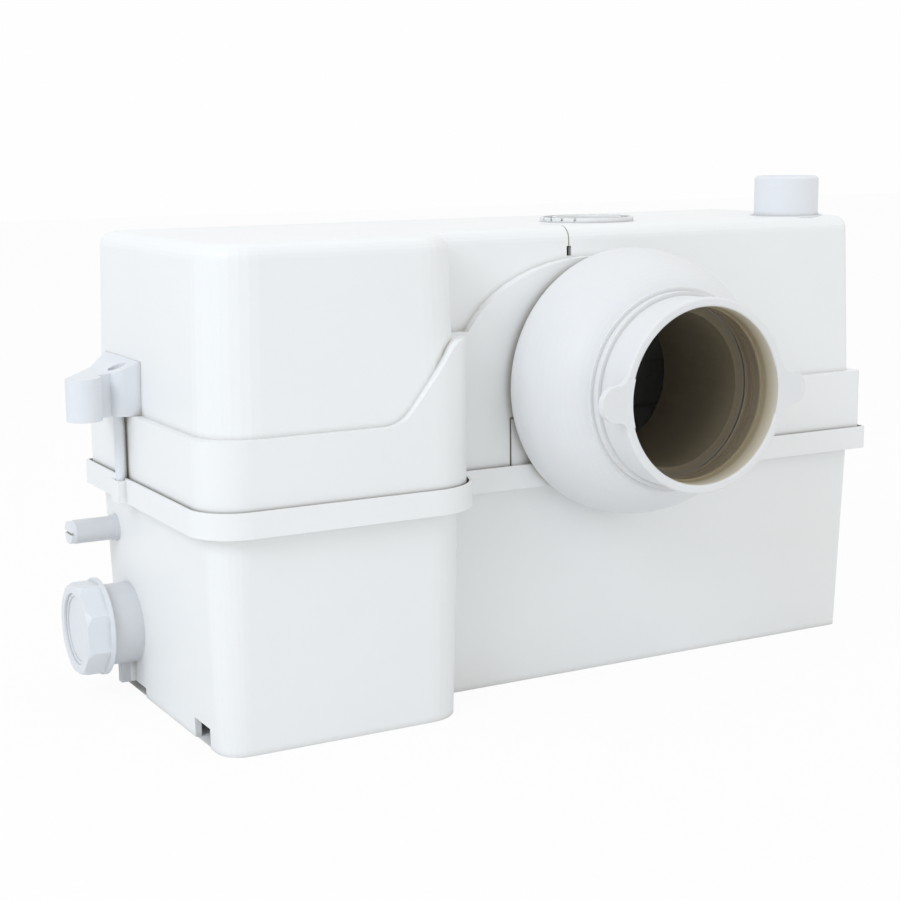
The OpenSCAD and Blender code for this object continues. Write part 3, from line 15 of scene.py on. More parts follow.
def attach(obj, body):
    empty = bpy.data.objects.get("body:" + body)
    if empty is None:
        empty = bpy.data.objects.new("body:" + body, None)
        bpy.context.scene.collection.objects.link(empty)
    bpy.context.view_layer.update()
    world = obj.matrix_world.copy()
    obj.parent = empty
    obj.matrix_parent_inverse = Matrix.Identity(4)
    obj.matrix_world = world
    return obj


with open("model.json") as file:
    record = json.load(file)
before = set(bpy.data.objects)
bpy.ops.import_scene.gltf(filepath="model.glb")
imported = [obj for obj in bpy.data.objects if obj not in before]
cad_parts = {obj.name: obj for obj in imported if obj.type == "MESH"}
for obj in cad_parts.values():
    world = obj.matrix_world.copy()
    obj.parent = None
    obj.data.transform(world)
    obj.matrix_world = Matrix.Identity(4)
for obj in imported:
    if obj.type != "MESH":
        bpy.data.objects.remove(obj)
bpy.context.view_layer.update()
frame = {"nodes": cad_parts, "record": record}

# %% [markdown]
# Lengths are easiest to read in millimetres, while Blender works in metres. One value turns one into
# the other, and a second one, divided by a pattern's pitch, gives its repeats in a metre. The drawing
# of the unit counts from the foot of the bay's front left corner, and the frame counts from the middle
# of the whole, so one function moves a point from the first to the second.

# %% Millimetres and the drawing's corner
MM = 0.001
MM_PER_M = 1000
CORNER = Vector((-200.05, -61.75, 0.0))


def place(x, y, z):
    return (Vector((x, y, z)) + CORNER) * MM


print("bay corner at", [round(v, 4) for v in place(0, 0, 0)])

# %% [markdown]
# Colours are picked on a screen, where they are sRGB hex values, and the renderer mixes light in
# linear values. Every colour but pure white goes through one function. A second function adds a shader
# node with its settings and its links, so that each material below reads as a short list. The others
# take up what several materials share.

# %% Colour and node helpers
def linear(hex_colour):
    parts = [int(hex_colour[i:i + 2], 16) / 255 for i in (1, 3, 5)]
    return [p / 12.92 if p <= 0.04045 else ((p + 0.055) / 1.055) ** 2.4 for p in parts] + [1.0]


def add_node(tree, kind, settings=(), inputs=(), links=()):
    node = tree.nodes.new(kind)
    for name, value in settings:
        setattr(node, name, value)
    for name, value in inputs:
        node.inputs[name].default_value = value
    for name, source in links:
        tree.links.new(source, node.inputs[name])
    return node


def find_node(tree, kind):
    return next(n for n in tree.nodes if n.type == kind)


def new_finish(name):
    finish = bpy.data.materials.new(name)
    finish.use_nodes = True
    tree = finish.node_tree
    shader = find_node(tree, "BSDF_PRINCIPLED")
    place_on = add_node(tree, "ShaderNodeTexCoord").outputs["Object"]
    return finish, tree, shader, place_on


def colour_over(finish, mask, hex_colour):
    """Lay a colour over the finish where the mask is 1."""
    tree = finish.node_tree
    base = find_node(tree, "BSDF_PRINCIPLED").inputs["Base Color"]
    under = base.links[0].from_socket
    over = add_node(tree, "ShaderNodeMix", settings=[("data_type", "RGBA")],
                    links=[("Factor", mask), ("A", under)])
    over.inputs["B"].default_value = linear(hex_colour)
    tree.links.new(over.outputs["Result"], base)


def two_tones(tree, shader, factor, first, second):
    """Base colour that goes from the first tone to the second as the factor rises."""
    tone = add_node(tree, "ShaderNodeMix", settings=[("data_type", "RGBA")], links=[("Factor", factor)])
    tone.inputs["A"].default_value = linear(first)
    tone.inputs["B"].default_value = linear(second)
    tree.links.new(tone.outputs["Result"], shader.inputs["Base Color"])


def noise(tree, at, size_mm, detail):
    return add_node(tree, "ShaderNodeTexNoise", inputs=[("Scale", MM_PER_M / size_mm), ("Detail", detail)],
                    links=[("Vector", at)]).outputs["Fac"]


def add_bump(tree, shader, height, strength, deep_mm):
    bump = add_node(tree, "ShaderNodeBump", inputs=[("Strength", strength), ("Distance", deep_mm * MM)],
                    links=[("Height", height)])
    tree.links.new(bump.outputs["Normal"], shader.inputs["Normal"])


def arithmetic(tree, operation, first, second):
    node = add_node(tree, "ShaderNodeMath", settings=[("operation", operation)])
    for socket, value in zip(node.inputs, (first, second)):
        if isinstance(value, (int, float)):
            socket.default_value = value
        else:
            tree.links.new(value, socket)
    return node.outputs[0]


def ramp_between(tree, value, start, end):
    """Zero at start, one at end, and held beyond both."""
    node = add_node(tree, "ShaderNodeMapRange", inputs=[("From Min", start), ("From Max", end)],
                    links=[("Value", value)])
    return node.outputs["Result"]


print("white as linear:", [round(c, 3) for c in linear("#f2f3f4")])

# %% [markdown]
# The casing is injection-moulded polypropylene. It is a cool white with a satin skin from a fine
# spark-eroded mould, so the highlights are broad and soft. Plain colour would look like paper. Two
# things give it life: slow patches where the melt cooled at another pace, some 60 mm wide, and the
# grain. Real grain is about 0.1 mm, too fine to see here, so it is drawn at 0.6 mm and very shallow.
# Shade is painted into the creases between two mouldings, so the tone darkens within 7 mm of a nook.

# %% A function for moulded surfaces
CREASE_MM = 7
CREASE_RANGE = (0.62, 0.2)
CREASE_SAMPLES = 6
SHEEN_BELOW, SHEEN_ABOVE = 0.04, 0.05
PATCH_DETAIL, GRAIN_DETAIL = 2.0, 1.0
GRAIN_STRENGTH = 0.5
RESIN_IOR = 1.49


def moulded(name, light, dark, roughness, grain_mm, grain_deep_mm, patch_mm=60, coat=0.0,
            crease_shade="#a9a59c"):
    finish, tree, shader, at = new_finish(name)
    patches = noise(tree, at, patch_mm, PATCH_DETAIL)
    two_tones(tree, shader, patches, light, dark)
    # Painted shade: the colour goes towards the crease shade where a nook closes the surface in
    crease_occlusion = add_node(tree, "ShaderNodeAmbientOcclusion", settings=[("samples", CREASE_SAMPLES)],
                    inputs=[("Distance", CREASE_MM * MM)])
    colour_over(finish, ramp_between(tree, crease_occlusion.outputs["AO"], *CREASE_RANGE), crease_shade)
    sheen_map = add_node(tree, "ShaderNodeMapRange",
                         inputs=[("To Min", roughness - SHEEN_BELOW), ("To Max", roughness + SHEEN_ABOVE)],
                         links=[("Value", patches)])
    tree.links.new(sheen_map.outputs["Result"], shader.inputs["Roughness"])
    grain = noise(tree, at, grain_mm, GRAIN_DETAIL)
    add_bump(tree, shader, grain, GRAIN_STRENGTH, grain_deep_mm)
    shader.inputs["IOR"].default_value = RESIN_IOR
    shader.inputs["Coat Weight"].default_value = coat
    return finish


# %% White polypropylene for the casing
POLYPROPYLENE = ("#f3f4f4", "#eff0f0", 0.36, 0.6, 0.01)
casing_white = moulded("satin_white_polypropylene", *POLYPROPYLENE)
# Shade is painted dark a little way into the vent's slots
vent_white = moulded("satin_white_vent_cap", *POLYPROPYLENE, crease_shade="#57534b")
print("made", casing_white.name, vent_white.name)

# %% [markdown]
# The tank has two fittings moulded into its left end, the side inlet's stub and the drain spigot. They
# look greyer than the casing, as the cap nut does, and are painted grey. The grey is partly painted
# shade, of the nut over the stub and of the stub over what lies below it. A mask over the tank's
# finish picks them by place: everything well left of the wall and below the belt, and the roots of
# both about their axes.

# %% The tank's finish
FITTINGS_GREY_AND_SHADE = "#d6d8db"
FITTINGS_X, FITTINGS_TOP = -3.6, 104
# Of the stub and of the drain spigot: y and z of the axis, radius of the root, x of the wall there
SIDE_FITTINGS = [(138, 40.5, 23.4, -0.9), (153, 92.6, 8.0, -2.3)]
tank_white = moulded("satin_white_polypropylene_tank", *POLYPROPYLENE)
tree = tank_white.node_tree
at = find_node(tree, "TEX_COORD").outputs["Object"]
part_at = add_node(tree, "ShaderNodeSeparateXYZ", links=[("Vector", at)])
outside = arithmetic(tree, "LESS_THAN", part_at.outputs["X"], place(FITTINGS_X, 0, 0).x)
below = arithmetic(tree, "LESS_THAN", part_at.outputs["Z"], place(0, 0, FITTINGS_TOP).z)
grey = arithmetic(tree, "MULTIPLY", outside, below)
for y, z, root_r, root_x in SIDE_FITTINGS:
    aside = arithmetic(tree, "SUBTRACT", part_at.outputs["Y"], place(0, y, 0).y)
    above = arithmetic(tree, "SUBTRACT", part_at.outputs["Z"], z * MM)
    squares = arithmetic(tree, "ADD", arithmetic(tree, "MULTIPLY", aside, aside),
                         arithmetic(tree, "MULTIPLY", above, above))
    near = arithmetic(tree, "LESS_THAN", squares, (root_r * MM) ** 2)
    past = arithmetic(tree, "LESS_THAN", part_at.outputs["X"], place(root_x, 0, 0).x)
    grey = arithmetic(tree, "MAXIMUM", grey, arithmetic(tree, "MULTIPLY", near, past))
# Painted grey, partly standing in for the shade of the nut over the stub and of the stub below
colour_over(tank_white, grey, FITTINGS_GREY_AND_SHADE)
print("made", tank_white.name)

# %% [markdown]
# The clamp and its screw, the cap nut and its disc, the drain plug and the riser are moulded from a
# slightly greyer resin, harder and a little less glossy. The pump works inside are mid grey and duller,
# because glass fibre in the resin comes to the skin. The switch body is black, and the liner in the
# mouth is taupe.

# %% Grey resins
fitting_grey = moulded("satin_light_grey_resin", "#e7eaee", "#e2e5e9", 0.42, 0.5, 0.01)
works_grey = moulded("glass_filled_grey_resin", "#a9acb0", "#9ea1a6", 0.55, 0.8, 0.02, patch_mm=25)
switch_black = moulded("black_switch_resin", "#26272a", "#1f2022", 0.45, 0.5, 0.01, patch_mm=15)
liner_taupe = moulded("taupe_liner_resin", "#8e8471", "#857b69", 0.5, 0.7, 0.015, patch_mm=30)
print("made", fitting_grey.name, works_grey.name, switch_black.name, liner_taupe.name)

# %% [markdown]
# The collar, the rim gasket, the tongue seal and the riser's grommet are soft white rubber. Rubber
# scatters some light under its skin and shows wider, weaker highlights than the casing. The flaps, the
# membrane, the shaft seal, the feet and the other small rubbers are black and dull, with a faint bloom
# of grey in slow patches.
#
# Inside the mouth, shade is painted into the collar's bore, which turns beige behind the rim and taupe
# behind the lips. Rings of colour follow the distance from the bore's axis and from the mouth.

# %% Rubbers
MOUTH_R = 47.7
# On the bore's axis, where the mouth begins
INLET_AXIS = (256, -56.25, 173)
# How far outside the bore's radius the shades begin, and where they are full
BORE_EDGE_FROM, BORE_EDGE_TO = 1.6, 0.5
# Each shade fades in between two depths behind the front of the mouth
BORE_PAINTED_SHADES = [(0.2, 1.5, "#e3dccb"), (2.0, 8.0, "#c9bea6"),
               (8.5, 11.0, "#a89b80"), (14.0, 17.0, "#8b7f6b")]
RUBBER_SCATTER = 0.15
# Of red, green and blue, in metres
RUBBER_SCATTER_REACH = (0.0025, 0.002, 0.0016)
collar_rubber = moulded("soft_white_rubber", "#e8e9ea", "#e3e4e5", 0.5, 0.9, 0.012, patch_mm=40)
collar_shader = find_node(collar_rubber.node_tree, "BSDF_PRINCIPLED")
collar_shader.inputs["Subsurface Weight"].default_value = RUBBER_SCATTER
collar_shader.inputs["Subsurface Radius"].default_value = RUBBER_SCATTER_REACH
collar_shader.inputs["Subsurface Scale"].default_value = 1.0
tree = collar_rubber.node_tree
at = find_node(tree, "TEX_COORD").outputs["Object"]
from_axis = add_node(tree, "ShaderNodeVectorMath", settings=[("operation", "SUBTRACT")],
                     links=[(0, at)])
from_axis.inputs[1].default_value = place(*INLET_AXIS)
flat = add_node(tree, "ShaderNodeVectorMath", settings=[("operation", "MULTIPLY")],
                links=[(0, from_axis.outputs[0])])
flat.inputs[1].default_value = (1, 0, 1)
radius = add_node(tree, "ShaderNodeVectorMath", settings=[("operation", "LENGTH")],
                  links=[(0, flat.outputs[0])]).outputs["Value"]
depth = add_node(tree, "ShaderNodeSeparateXYZ", links=[("Vector", from_axis.outputs[0])]).outputs["Y"]
within = ramp_between(tree, radius, (MOUTH_R + BORE_EDGE_FROM) * MM, (MOUTH_R + BORE_EDGE_TO) * MM)
# Painted shade, darker step by step deeper into the bore
for start, end, shade in BORE_PAINTED_SHADES:
    mask = arithmetic(tree, "MULTIPLY", within, ramp_between(tree, depth, start * MM, end * MM))
    colour_over(collar_rubber, mask, shade)
seal_rubber = moulded("black_seal_rubber", "#2b2b2c", "#222223", 0.68, 1.0, 0.03, patch_mm=12)
print("made", collar_rubber.name, seal_rubber.name)

# %% [markdown]
# The filter is open-cell foam loaded with carbon: near black, dead matt, full of pores about 1.5 mm
# across. A Voronoi pattern gives the cells, and their edges stand up as the foam's struts.

# %% Carbon foam
PORE_MM, PORE_DEEP_MM, PORE_STRENGTH, FOAM_ROUGHNESS = 1.5, 0.4, 0.8, 0.95
filter_foam, tree, shader, at = new_finish("carbon_loaded_foam")
cells = add_node(tree, "ShaderNodeTexVoronoi", inputs=[("Scale", MM_PER_M / PORE_MM)],
                 links=[("Vector", at)])
ramp = add_node(tree, "ShaderNodeValToRGB", links=[("Fac", cells.outputs["Distance"])])
ramp.color_ramp.elements[0].color = linear("#0c0c0d")
ramp.color_ramp.elements[1].color = linear("#2a2a2c")
tree.links.new(ramp.outputs["Color"], shader.inputs["Base Color"])
add_bump(tree, shader, cells.outputs["Distance"], PORE_STRENGTH, PORE_DEEP_MM)
shader.inputs["Roughness"].default_value = FOAM_ROUGHNESS
print("made", filter_foam.name)

# %% [markdown]
# Metal parts differ by how they were made. Stainless sheet and turned pins carry fine lines from
# rolling or turning: noise squeezed hard along one axis makes them. Laminations are sheets 0.5 mm
# thick, stacked, so their edges show as level stripes, a light and a dark one to the millimetre. The
# windings are enamelled copper wire of 0.8 mm, drawn as stripes at that pitch. The motor can and its
# cap are sprayed with a satin grey paint.

# %% A function for lined metals
LINE_SQUEEZE = 0.02
LINE_DETAIL = 3.0
LINE_STRENGTH = 0.4


def lined_metal(name, light, dark, roughness, line_mm, along, deep_mm):
    finish, tree, shader, at = new_finish(name)
    squeeze = [1.0, 1.0, 1.0]
    squeeze[along] = LINE_SQUEEZE
    stretch = add_node(tree, "ShaderNodeMapping", inputs=[("Scale", squeeze)], links=[("Vector", at)])
    lines = noise(tree, stretch.outputs["Vector"], line_mm, LINE_DETAIL)
    two_tones(tree, shader, lines, dark, light)
    add_bump(tree, shader, lines, LINE_STRENGTH, deep_mm)
    shader.inputs["Metallic"].default_value = 1.0
    shader.inputs["Roughness"].default_value = roughness
    return finish


# %% Stainless steel
stainless = lined_metal("drawn_stainless_steel", "#c9cbce", "#a9acb0", 0.3, 0.5, 0, 0.01)
print("made", stainless.name)

# %% A function for stacked and wound metal
# The wave texture repeats every pi / 10 of its own units, so this scale gives one band a millimetre
WAVE_SCALE_OF_1_MM = 314.16
STRIPE_WOBBLE = 0.15
STRIPE_STRENGTH = 0.6


def striped_metal(name, light, dark, roughness, pitch_mm, metallic, deep_mm):
    finish, tree, shader, at = new_finish(name)
    stripes = add_node(tree, "ShaderNodeTexWave", settings=[("bands_direction", "Z")],
                       inputs=[("Scale", WAVE_SCALE_OF_1_MM / pitch_mm), ("Distortion", STRIPE_WOBBLE)],
                       links=[("Vector", at)]).outputs["Fac"]
    two_tones(tree, shader, stripes, dark, light)
    add_bump(tree, shader, stripes, STRIPE_STRENGTH, deep_mm)
    shader.inputs["Metallic"].default_value = metallic
    shader.inputs["Roughness"].default_value = roughness
    return finish


# %% Laminations and windings
sheet_stack = striped_metal("stacked_electrical_steel", "#8a8c90", "#5f6165", 0.45, 1.0, 1.0, 0.05)
copper_coils = striped_metal("enamelled_copper_wire", "#b8703a", "#7c4220", 0.35, 0.8, 0.9, 0.15)
can_paint = moulded("satin_grey_motor_paint", "#6a6e73", "#62666b", 0.4, 0.9, 0.02, patch_mm=30, coat=0.3)
print("made", sheet_stack.name, copper_coils.name, can_paint.name)

# %% [markdown]
# Each solid has a material slot named in the record. The finishes are handed out by slot, so a solid
# that is added to the frame later is dressed by the same table. Only the tank and the vent cap have
# finishes of their own.

# %% Dress the solids
FINISH_OF_NODE = {"tank": tank_white, "vent_cap": vent_white}
FINISHES = {
    "white_plastic": casing_white,
    "light_grey_plastic": fitting_grey,
    "grey_plastic": works_grey,
    "black_plastic": switch_black,
    "taupe_plastic": liner_taupe,
    "white_rubber": collar_rubber,
    "black_rubber": seal_rubber,
    "filter_carbon": filter_foam,
    "steel": stainless,
    "motor_paint": can_paint,
    "lamination_steel": sheet_stack,
    "copper_wire": copper_coils,
}
for part in frame["record"]["subparts"]:
    solid = frame["nodes"][part["node"]]
    for slot in solid.material_slots:
        slot.material = FINISH_OF_NODE.get(part["node"], FINISHES[part["material_slot"]])

# %% [markdown]
# A moulding has no knife edges, because molten plastic cannot fill them. Catching light along a soft
# edge is much of what makes plastic look like plastic. The solids keep their meshes, so the rounding
# is done by modifiers: weld the loose triangles, dissolve the flat ones into whole faces, bevel what
# is sharper than 28 degrees, and weight the normals so that the big faces stay flat.

# %% A function that softens a solid's edges
WELD_MM, FLAT_DEG, SHARP_DEG, EDGE_STEPS = 0.004, 0.6, 28, 2


def soften(node, width_mm):
    solid = frame["nodes"][node]
    weld = solid.modifiers.new("weld", "WELD")
    weld.merge_threshold = WELD_MM * MM
    flat = solid.modifiers.new("flat", "DECIMATE")
    flat.decimate_type = "DISSOLVE"
    flat.angle_limit = math.radians(FLAT_DEG)
    bevel = solid.modifiers.new("edge", "BEVEL")
    bevel.width = width_mm * MM
    bevel.segments = EDGE_STEPS
    bevel.limit_method = "ANGLE"
    bevel.angle_limit = math.radians(SHARP_DEG)
    bevel.harden_normals = False
    weigh = solid.modifiers.new("normals", "WEIGHTED_NORMAL")
    weigh.keep_sharp = True


SOFT_EDGES = [("tank", 1.0), ("lid", 1.3), ("lid_clamp", 2.2), ("side_cap_nut", 0.8)]
for node, width in SOFT_EDGES:
    soften(node, width)
    print("softened", node, "by", width, "mm")

# %% [markdown]
# Small fittings that the frame leaves out are made here, and most of them are hidden until the lid is
# off. Each is modelled once at the origin, then copied, turned and carried to its place. The fold inside
# the collar is placed by the drawing's measures, and the rest by the boxes of the solids that carry them.

# %% Helpers for small fittings
SMOOTH_DEG, ROUND_SIDES = 35, 40


def deselect():
    bpy.ops.object.select_all(action="DESELECT")


def box_of(node):
    corners = [Vector(corner) for corner in frame["nodes"][node].bound_box]
    low = Vector([min(corner[i] for corner in corners) for i in range(3)])
    high = Vector([max(corner[i] for corner in corners) for i in range(3)])
    return low, high


def finish_shape(piece, bevel_mm, steps=2):
    """Round the edges, apply what is live and smooth the faces."""
    edge = piece.modifiers.new("edge", "BEVEL")
    edge.width = bevel_mm * MM
    edge.segments = steps
    edge.limit_method = "ANGLE"
    bpy.context.view_layer.objects.active = piece
    piece.select_set(True)
    bpy.ops.object.modifier_apply(modifier=edge.name)
    bpy.ops.object.shade_smooth_by_angle(angle=math.radians(SMOOTH_DEG))


def cut_with(piece, tool):
    """Take the tool's volume out of the piece, then throw the tool away."""
    cut = piece.modifiers.new("cut", "BOOLEAN")
    cut.object = tool
    cut.operation = "DIFFERENCE"
    bpy.context.view_layer.objects.active = piece
    bpy.ops.object.modifier_apply(modifier=cut.name)
    bpy.data.objects.remove(tool)


def carried(pattern, name, at, turn, body, finish):
    """A copy of the pattern with its own mesh, turned and moved to its place, that rides on a body."""
    mesh = pattern.data.copy()
    mesh.transform(Matrix.Translation(at) @ turn)
    piece = bpy.data.objects.new(name, mesh)
    bpy.context.scene.collection.objects.link(piece)
    mesh.materials.clear()
    mesh.materials.append(finish)
    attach(piece, body)


print("terminal box from", [round(v, 3) for v in box_of("terminal_box")[0]])

# %% [markdown]
# The terminal box is shut by four pan-head screws. A pan head is a low cylinder with a rounded rim and
# a cross recess. It starts as a cylinder, two thin boxes cut the cross, and a bevel rounds the rim.

# %% Screws of the terminal box
PAN_R, PAN_H, CROSS_L, CROSS_W, CROSS_DEEP = 2.8, 1.9, 3.2, 0.8, 1.1
PAN_ROUND, PAN_ROUND_STEPS, SCREW_INSET = 0.5, 3, 5
# No two screws stop at the same angle
FIRST_TURN, TURN_BY_SIDE, TURN_BY_END = 20, 35, 15
deselect()
bpy.ops.mesh.primitive_cylinder_add(vertices=ROUND_SIDES, radius=PAN_R * MM, depth=PAN_H * MM,
                                    location=(0, 0, PAN_H / 2 * MM))
pan_head = bpy.context.object
bpy.ops.object.transform_apply(location=True, rotation=True, scale=True)
for turned in (0, 90):
    deselect()
    bpy.ops.mesh.primitive_cube_add(size=1, location=(0, 0, PAN_H * MM),
                                    rotation=(0, 0, math.radians(turned)),
                                    scale=(CROSS_L * MM, CROSS_W * MM, 2 * CROSS_DEEP * MM))
    cut_with(pan_head, bpy.context.object)
deselect()
finish_shape(pan_head, PAN_ROUND, PAN_ROUND_STEPS)
low, high = box_of("terminal_lid")
for i, x in enumerate((low.x + SCREW_INSET * MM, high.x - SCREW_INSET * MM)):
    for j, y in enumerate((low.y + SCREW_INSET * MM, high.y - SCREW_INSET * MM)):
        angle = math.radians(FIRST_TURN + TURN_BY_SIDE * i + TURN_BY_END * j)
        carried(pan_head, f"terminal_screw_{2 * i + j + 1}", Vector((x, y, high.z)),
                Matrix.Rotation(angle, 4, "Z"), "tank", stainless)
print("terminal screws at", round(high.z, 4), "m up,", len(pan_head.data.polygons), "faces each")
bpy.data.objects.remove(pan_head)

# %% [markdown]
# A worm-drive clip is drawn tight by a small screw that lies across its band. Its head is a hexagon
# with a slot and a washer face. Two sit on the clips of the outlet hose and one on the collar's clip.

# %% Worm screws of the clips
HEX_R, HEX_H, WASHER_R, WASHER_T, SLOT_W, SLOT_DEEP = 2.1, 2.0, 2.4, 0.6, 0.7, 0.9
HEX_ROUND, WASHER_ROUND = 0.15, 0.12
deselect()
bpy.ops.mesh.primitive_cylinder_add(vertices=6, radius=HEX_R * MM, depth=HEX_H * MM,
                                    location=(0, 0, (WASHER_T + HEX_H / 2) * MM))
hex_head = bpy.context.object
bpy.ops.object.transform_apply(location=True, rotation=True, scale=True)
deselect()
bpy.ops.mesh.primitive_cube_add(size=1, location=(0, 0, (WASHER_T + HEX_H) * MM),
                                scale=(3 * HEX_R * MM, SLOT_W * MM, 2 * SLOT_DEEP * MM))
cut_with(hex_head, bpy.context.object)
deselect()
finish_shape(hex_head, HEX_ROUND)
deselect()
bpy.ops.mesh.primitive_cylinder_add(vertices=ROUND_SIDES, radius=WASHER_R * MM, depth=WASHER_T * MM,
                                    location=(0, 0, WASHER_T / 2 * MM))
washer_face = bpy.context.object
bpy.ops.object.transform_apply(location=True, rotation=True, scale=True)
finish_shape(washer_face, WASHER_ROUND)
deselect()
washer_face.select_set(True)
hex_head.select_set(True)
bpy.context.view_layer.objects.active = hex_head
bpy.ops.object.join()
HOUSING_UP, HOSE_CLIP_W, COLLAR_CLIP_W = 2.0, 6.0, 7.0
low, high = box_of("hose_clips")
to_front = Matrix.Rotation(math.radians(90), 4, "X")
for i, x in enumerate((low.x + HOSE_CLIP_W / 2 * MM, high.x - HOSE_CLIP_W / 2 * MM)):
    seat = Vector((x, (low.y + high.y - HOSE_CLIP_W * MM) / 2, high.z - HOUSING_UP * MM))
    carried(hex_head, f"hose_clip_screw_{i + 1}", seat, to_front, "tank", stainless)
low, high = box_of("inlet_clip")
to_right = Matrix.Rotation(math.radians(90), 4, "Y")
seat = Vector(((low.x + high.x + COLLAR_CLIP_W * MM) / 2, (low.y + high.y) / 2,
               high.z - HOUSING_UP * MM))
carried(hex_head, "collar_clip_screw", seat, to_right, "tank", stainless)
print("worm screws:", len(hex_head.data.polygons), "faces each")
bpy.data.objects.remove(hex_head)

# %% [markdown]
# Behind its lips the collar's bore ends in a thin fold of rubber that reaches back to the nozzle, with
# one small rib. It is a ring of edges, drawn out step by step and drawn in or let out at each step, and
# then given its thickness.

# %% Fold inside the collar
FOLD_FROM, FOLD_T, TONGUE_Y, FOLD_SMOOTH_DEG, FOLD_SIDES = 55.9, 0.6, 30.75, 50, 128
# Each step: how far forward it lies, and its radius
FOLD_STEPS = [(0, 49.4), (0.7, 48.6), (1.7, 48.4), (2.3, 47.9), (2.9, 48.4), (3.9, 48.4), (4.3, 48.5)]
deselect()
bpy.ops.mesh.primitive_circle_add(vertices=FOLD_SIDES, radius=FOLD_STEPS[0][1] * MM)
fold = bpy.context.object
bpy.ops.object.mode_set(mode="EDIT")
for (back, wide), (ahead_by, narrow) in zip(FOLD_STEPS, FOLD_STEPS[1:]):
    bpy.ops.mesh.extrude_edges_move(TRANSFORM_OT_translate={"value": (0, 0, (ahead_by - back) * MM)})
    bpy.ops.transform.resize(value=(narrow / wide, narrow / wide, 1), center_override=(0, 0, ahead_by * MM))
bpy.ops.mesh.select_all(action="SELECT")
bpy.ops.mesh.normals_make_consistent(inside=False)
bpy.ops.object.mode_set(mode="OBJECT")
wall = fold.modifiers.new("wall", "SOLIDIFY")
wall.thickness = FOLD_T * MM
wall.offset = 1
bpy.context.view_layer.objects.active = fold
bpy.ops.object.modifier_apply(modifier=wall.name)
bpy.ops.object.shade_smooth_by_angle(angle=math.radians(FOLD_SMOOTH_DEG))
carried(fold, "collar_fold", place(INLET_AXIS[0], TONGUE_Y - FOLD_FROM, INLET_AXIS[2]), to_front,
        "tank", collar_rubber)
print("fold faces", len(fold.data.polygons))
bpy.data.objects.remove(fold)

# %% [markdown]
# The motor's capacitor takes two push-on connectors. Each of its posts carries a flat brass tab, 6.3 mm
# wide and 0.8 mm thick, with a locking hole and a chamfered tip. A box is made, its top edge is drawn
# in, and a cylinder cuts the hole.

# %% Tabs of the capacitor
TAB_W, TAB_T, TAB_H, TAB_HOLE_R, POST_IN = 6.3, 0.8, 8.0, 0.85, 9.0
TAB_TIP_SHARE, TAB_THIN_SHARE, TAB_HOLE_SHARE = 0.7, 0.5, 0.6
TAB_ROUND, NEAR_END, TAB_SUNK, TAB_CUTS, HOLE_SIDES = 0.08, 0.1, 0.01, 3, 24
brass = lined_metal("tinned_brass_tab", "#cfc7b2", "#b8ae96", 0.35, 0.5, 2, 0.005)
deselect()
bpy.ops.mesh.primitive_cube_add(size=1, location=(0, 0, TAB_H / 2 * MM),
                                scale=(TAB_W * MM, TAB_T * MM, TAB_H * MM))
tab = bpy.context.object
bpy.ops.object.transform_apply(location=True, rotation=True, scale=True)
bpy.ops.object.mode_set(mode="EDIT")
bpy.ops.mesh.subdivide(number_cuts=TAB_CUTS)
bpy.ops.mesh.select_all(action="DESELECT")
bpy.ops.object.mode_set(mode="OBJECT")
for vertex in tab.data.vertices:
    vertex.select = vertex.co.z > (TAB_H - NEAR_END) * MM
bpy.ops.object.mode_set(mode="EDIT")
bpy.ops.mesh.select_mode(type="VERT")
bpy.ops.transform.resize(value=(TAB_TIP_SHARE, TAB_THIN_SHARE, 1), center_override=(0, 0, TAB_H * MM))
bpy.ops.object.mode_set(mode="OBJECT")
deselect()
bpy.ops.mesh.primitive_cylinder_add(vertices=HOLE_SIDES, radius=TAB_HOLE_R * MM, depth=4 * TAB_T * MM,
                                    location=(0, 0, TAB_H * TAB_HOLE_SHARE * MM),
                                    rotation=(math.radians(90), 0, 0))
cut_with(tab, bpy.context.object)
deselect()
finish_shape(tab, TAB_ROUND, 1)
low, high = box_of("capacitor")
centre = (low + high) / 2
for i, side in enumerate((-1, 1)):
    foot = Vector((centre.x + side * POST_IN * MM, centre.y, high.z - TAB_SUNK * MM))
    carried(tab, f"capacitor_tab_{i + 1}", foot, Matrix.Identity(4), "tank", brass)
print("tab faces", len(tab.data.polygons))
bpy.data.objects.remove(tab)

# %% [markdown]
# The stage is plain: a pale floor that runs back under a white surround, one large soft lamp high on
# the left, a weaker one on the right and one overhead. The floor is matt white paper. To the camera
# most of it is glow, so that it joins the white surround without a horizon.
#
# Under the object it does not glow, so that the notches in the casing's foot stay dark.

# %% Floor
FLOOR_M, FLOOR_ROUGHNESS, GLOW_SHARE = 12, 0.9, 0.93
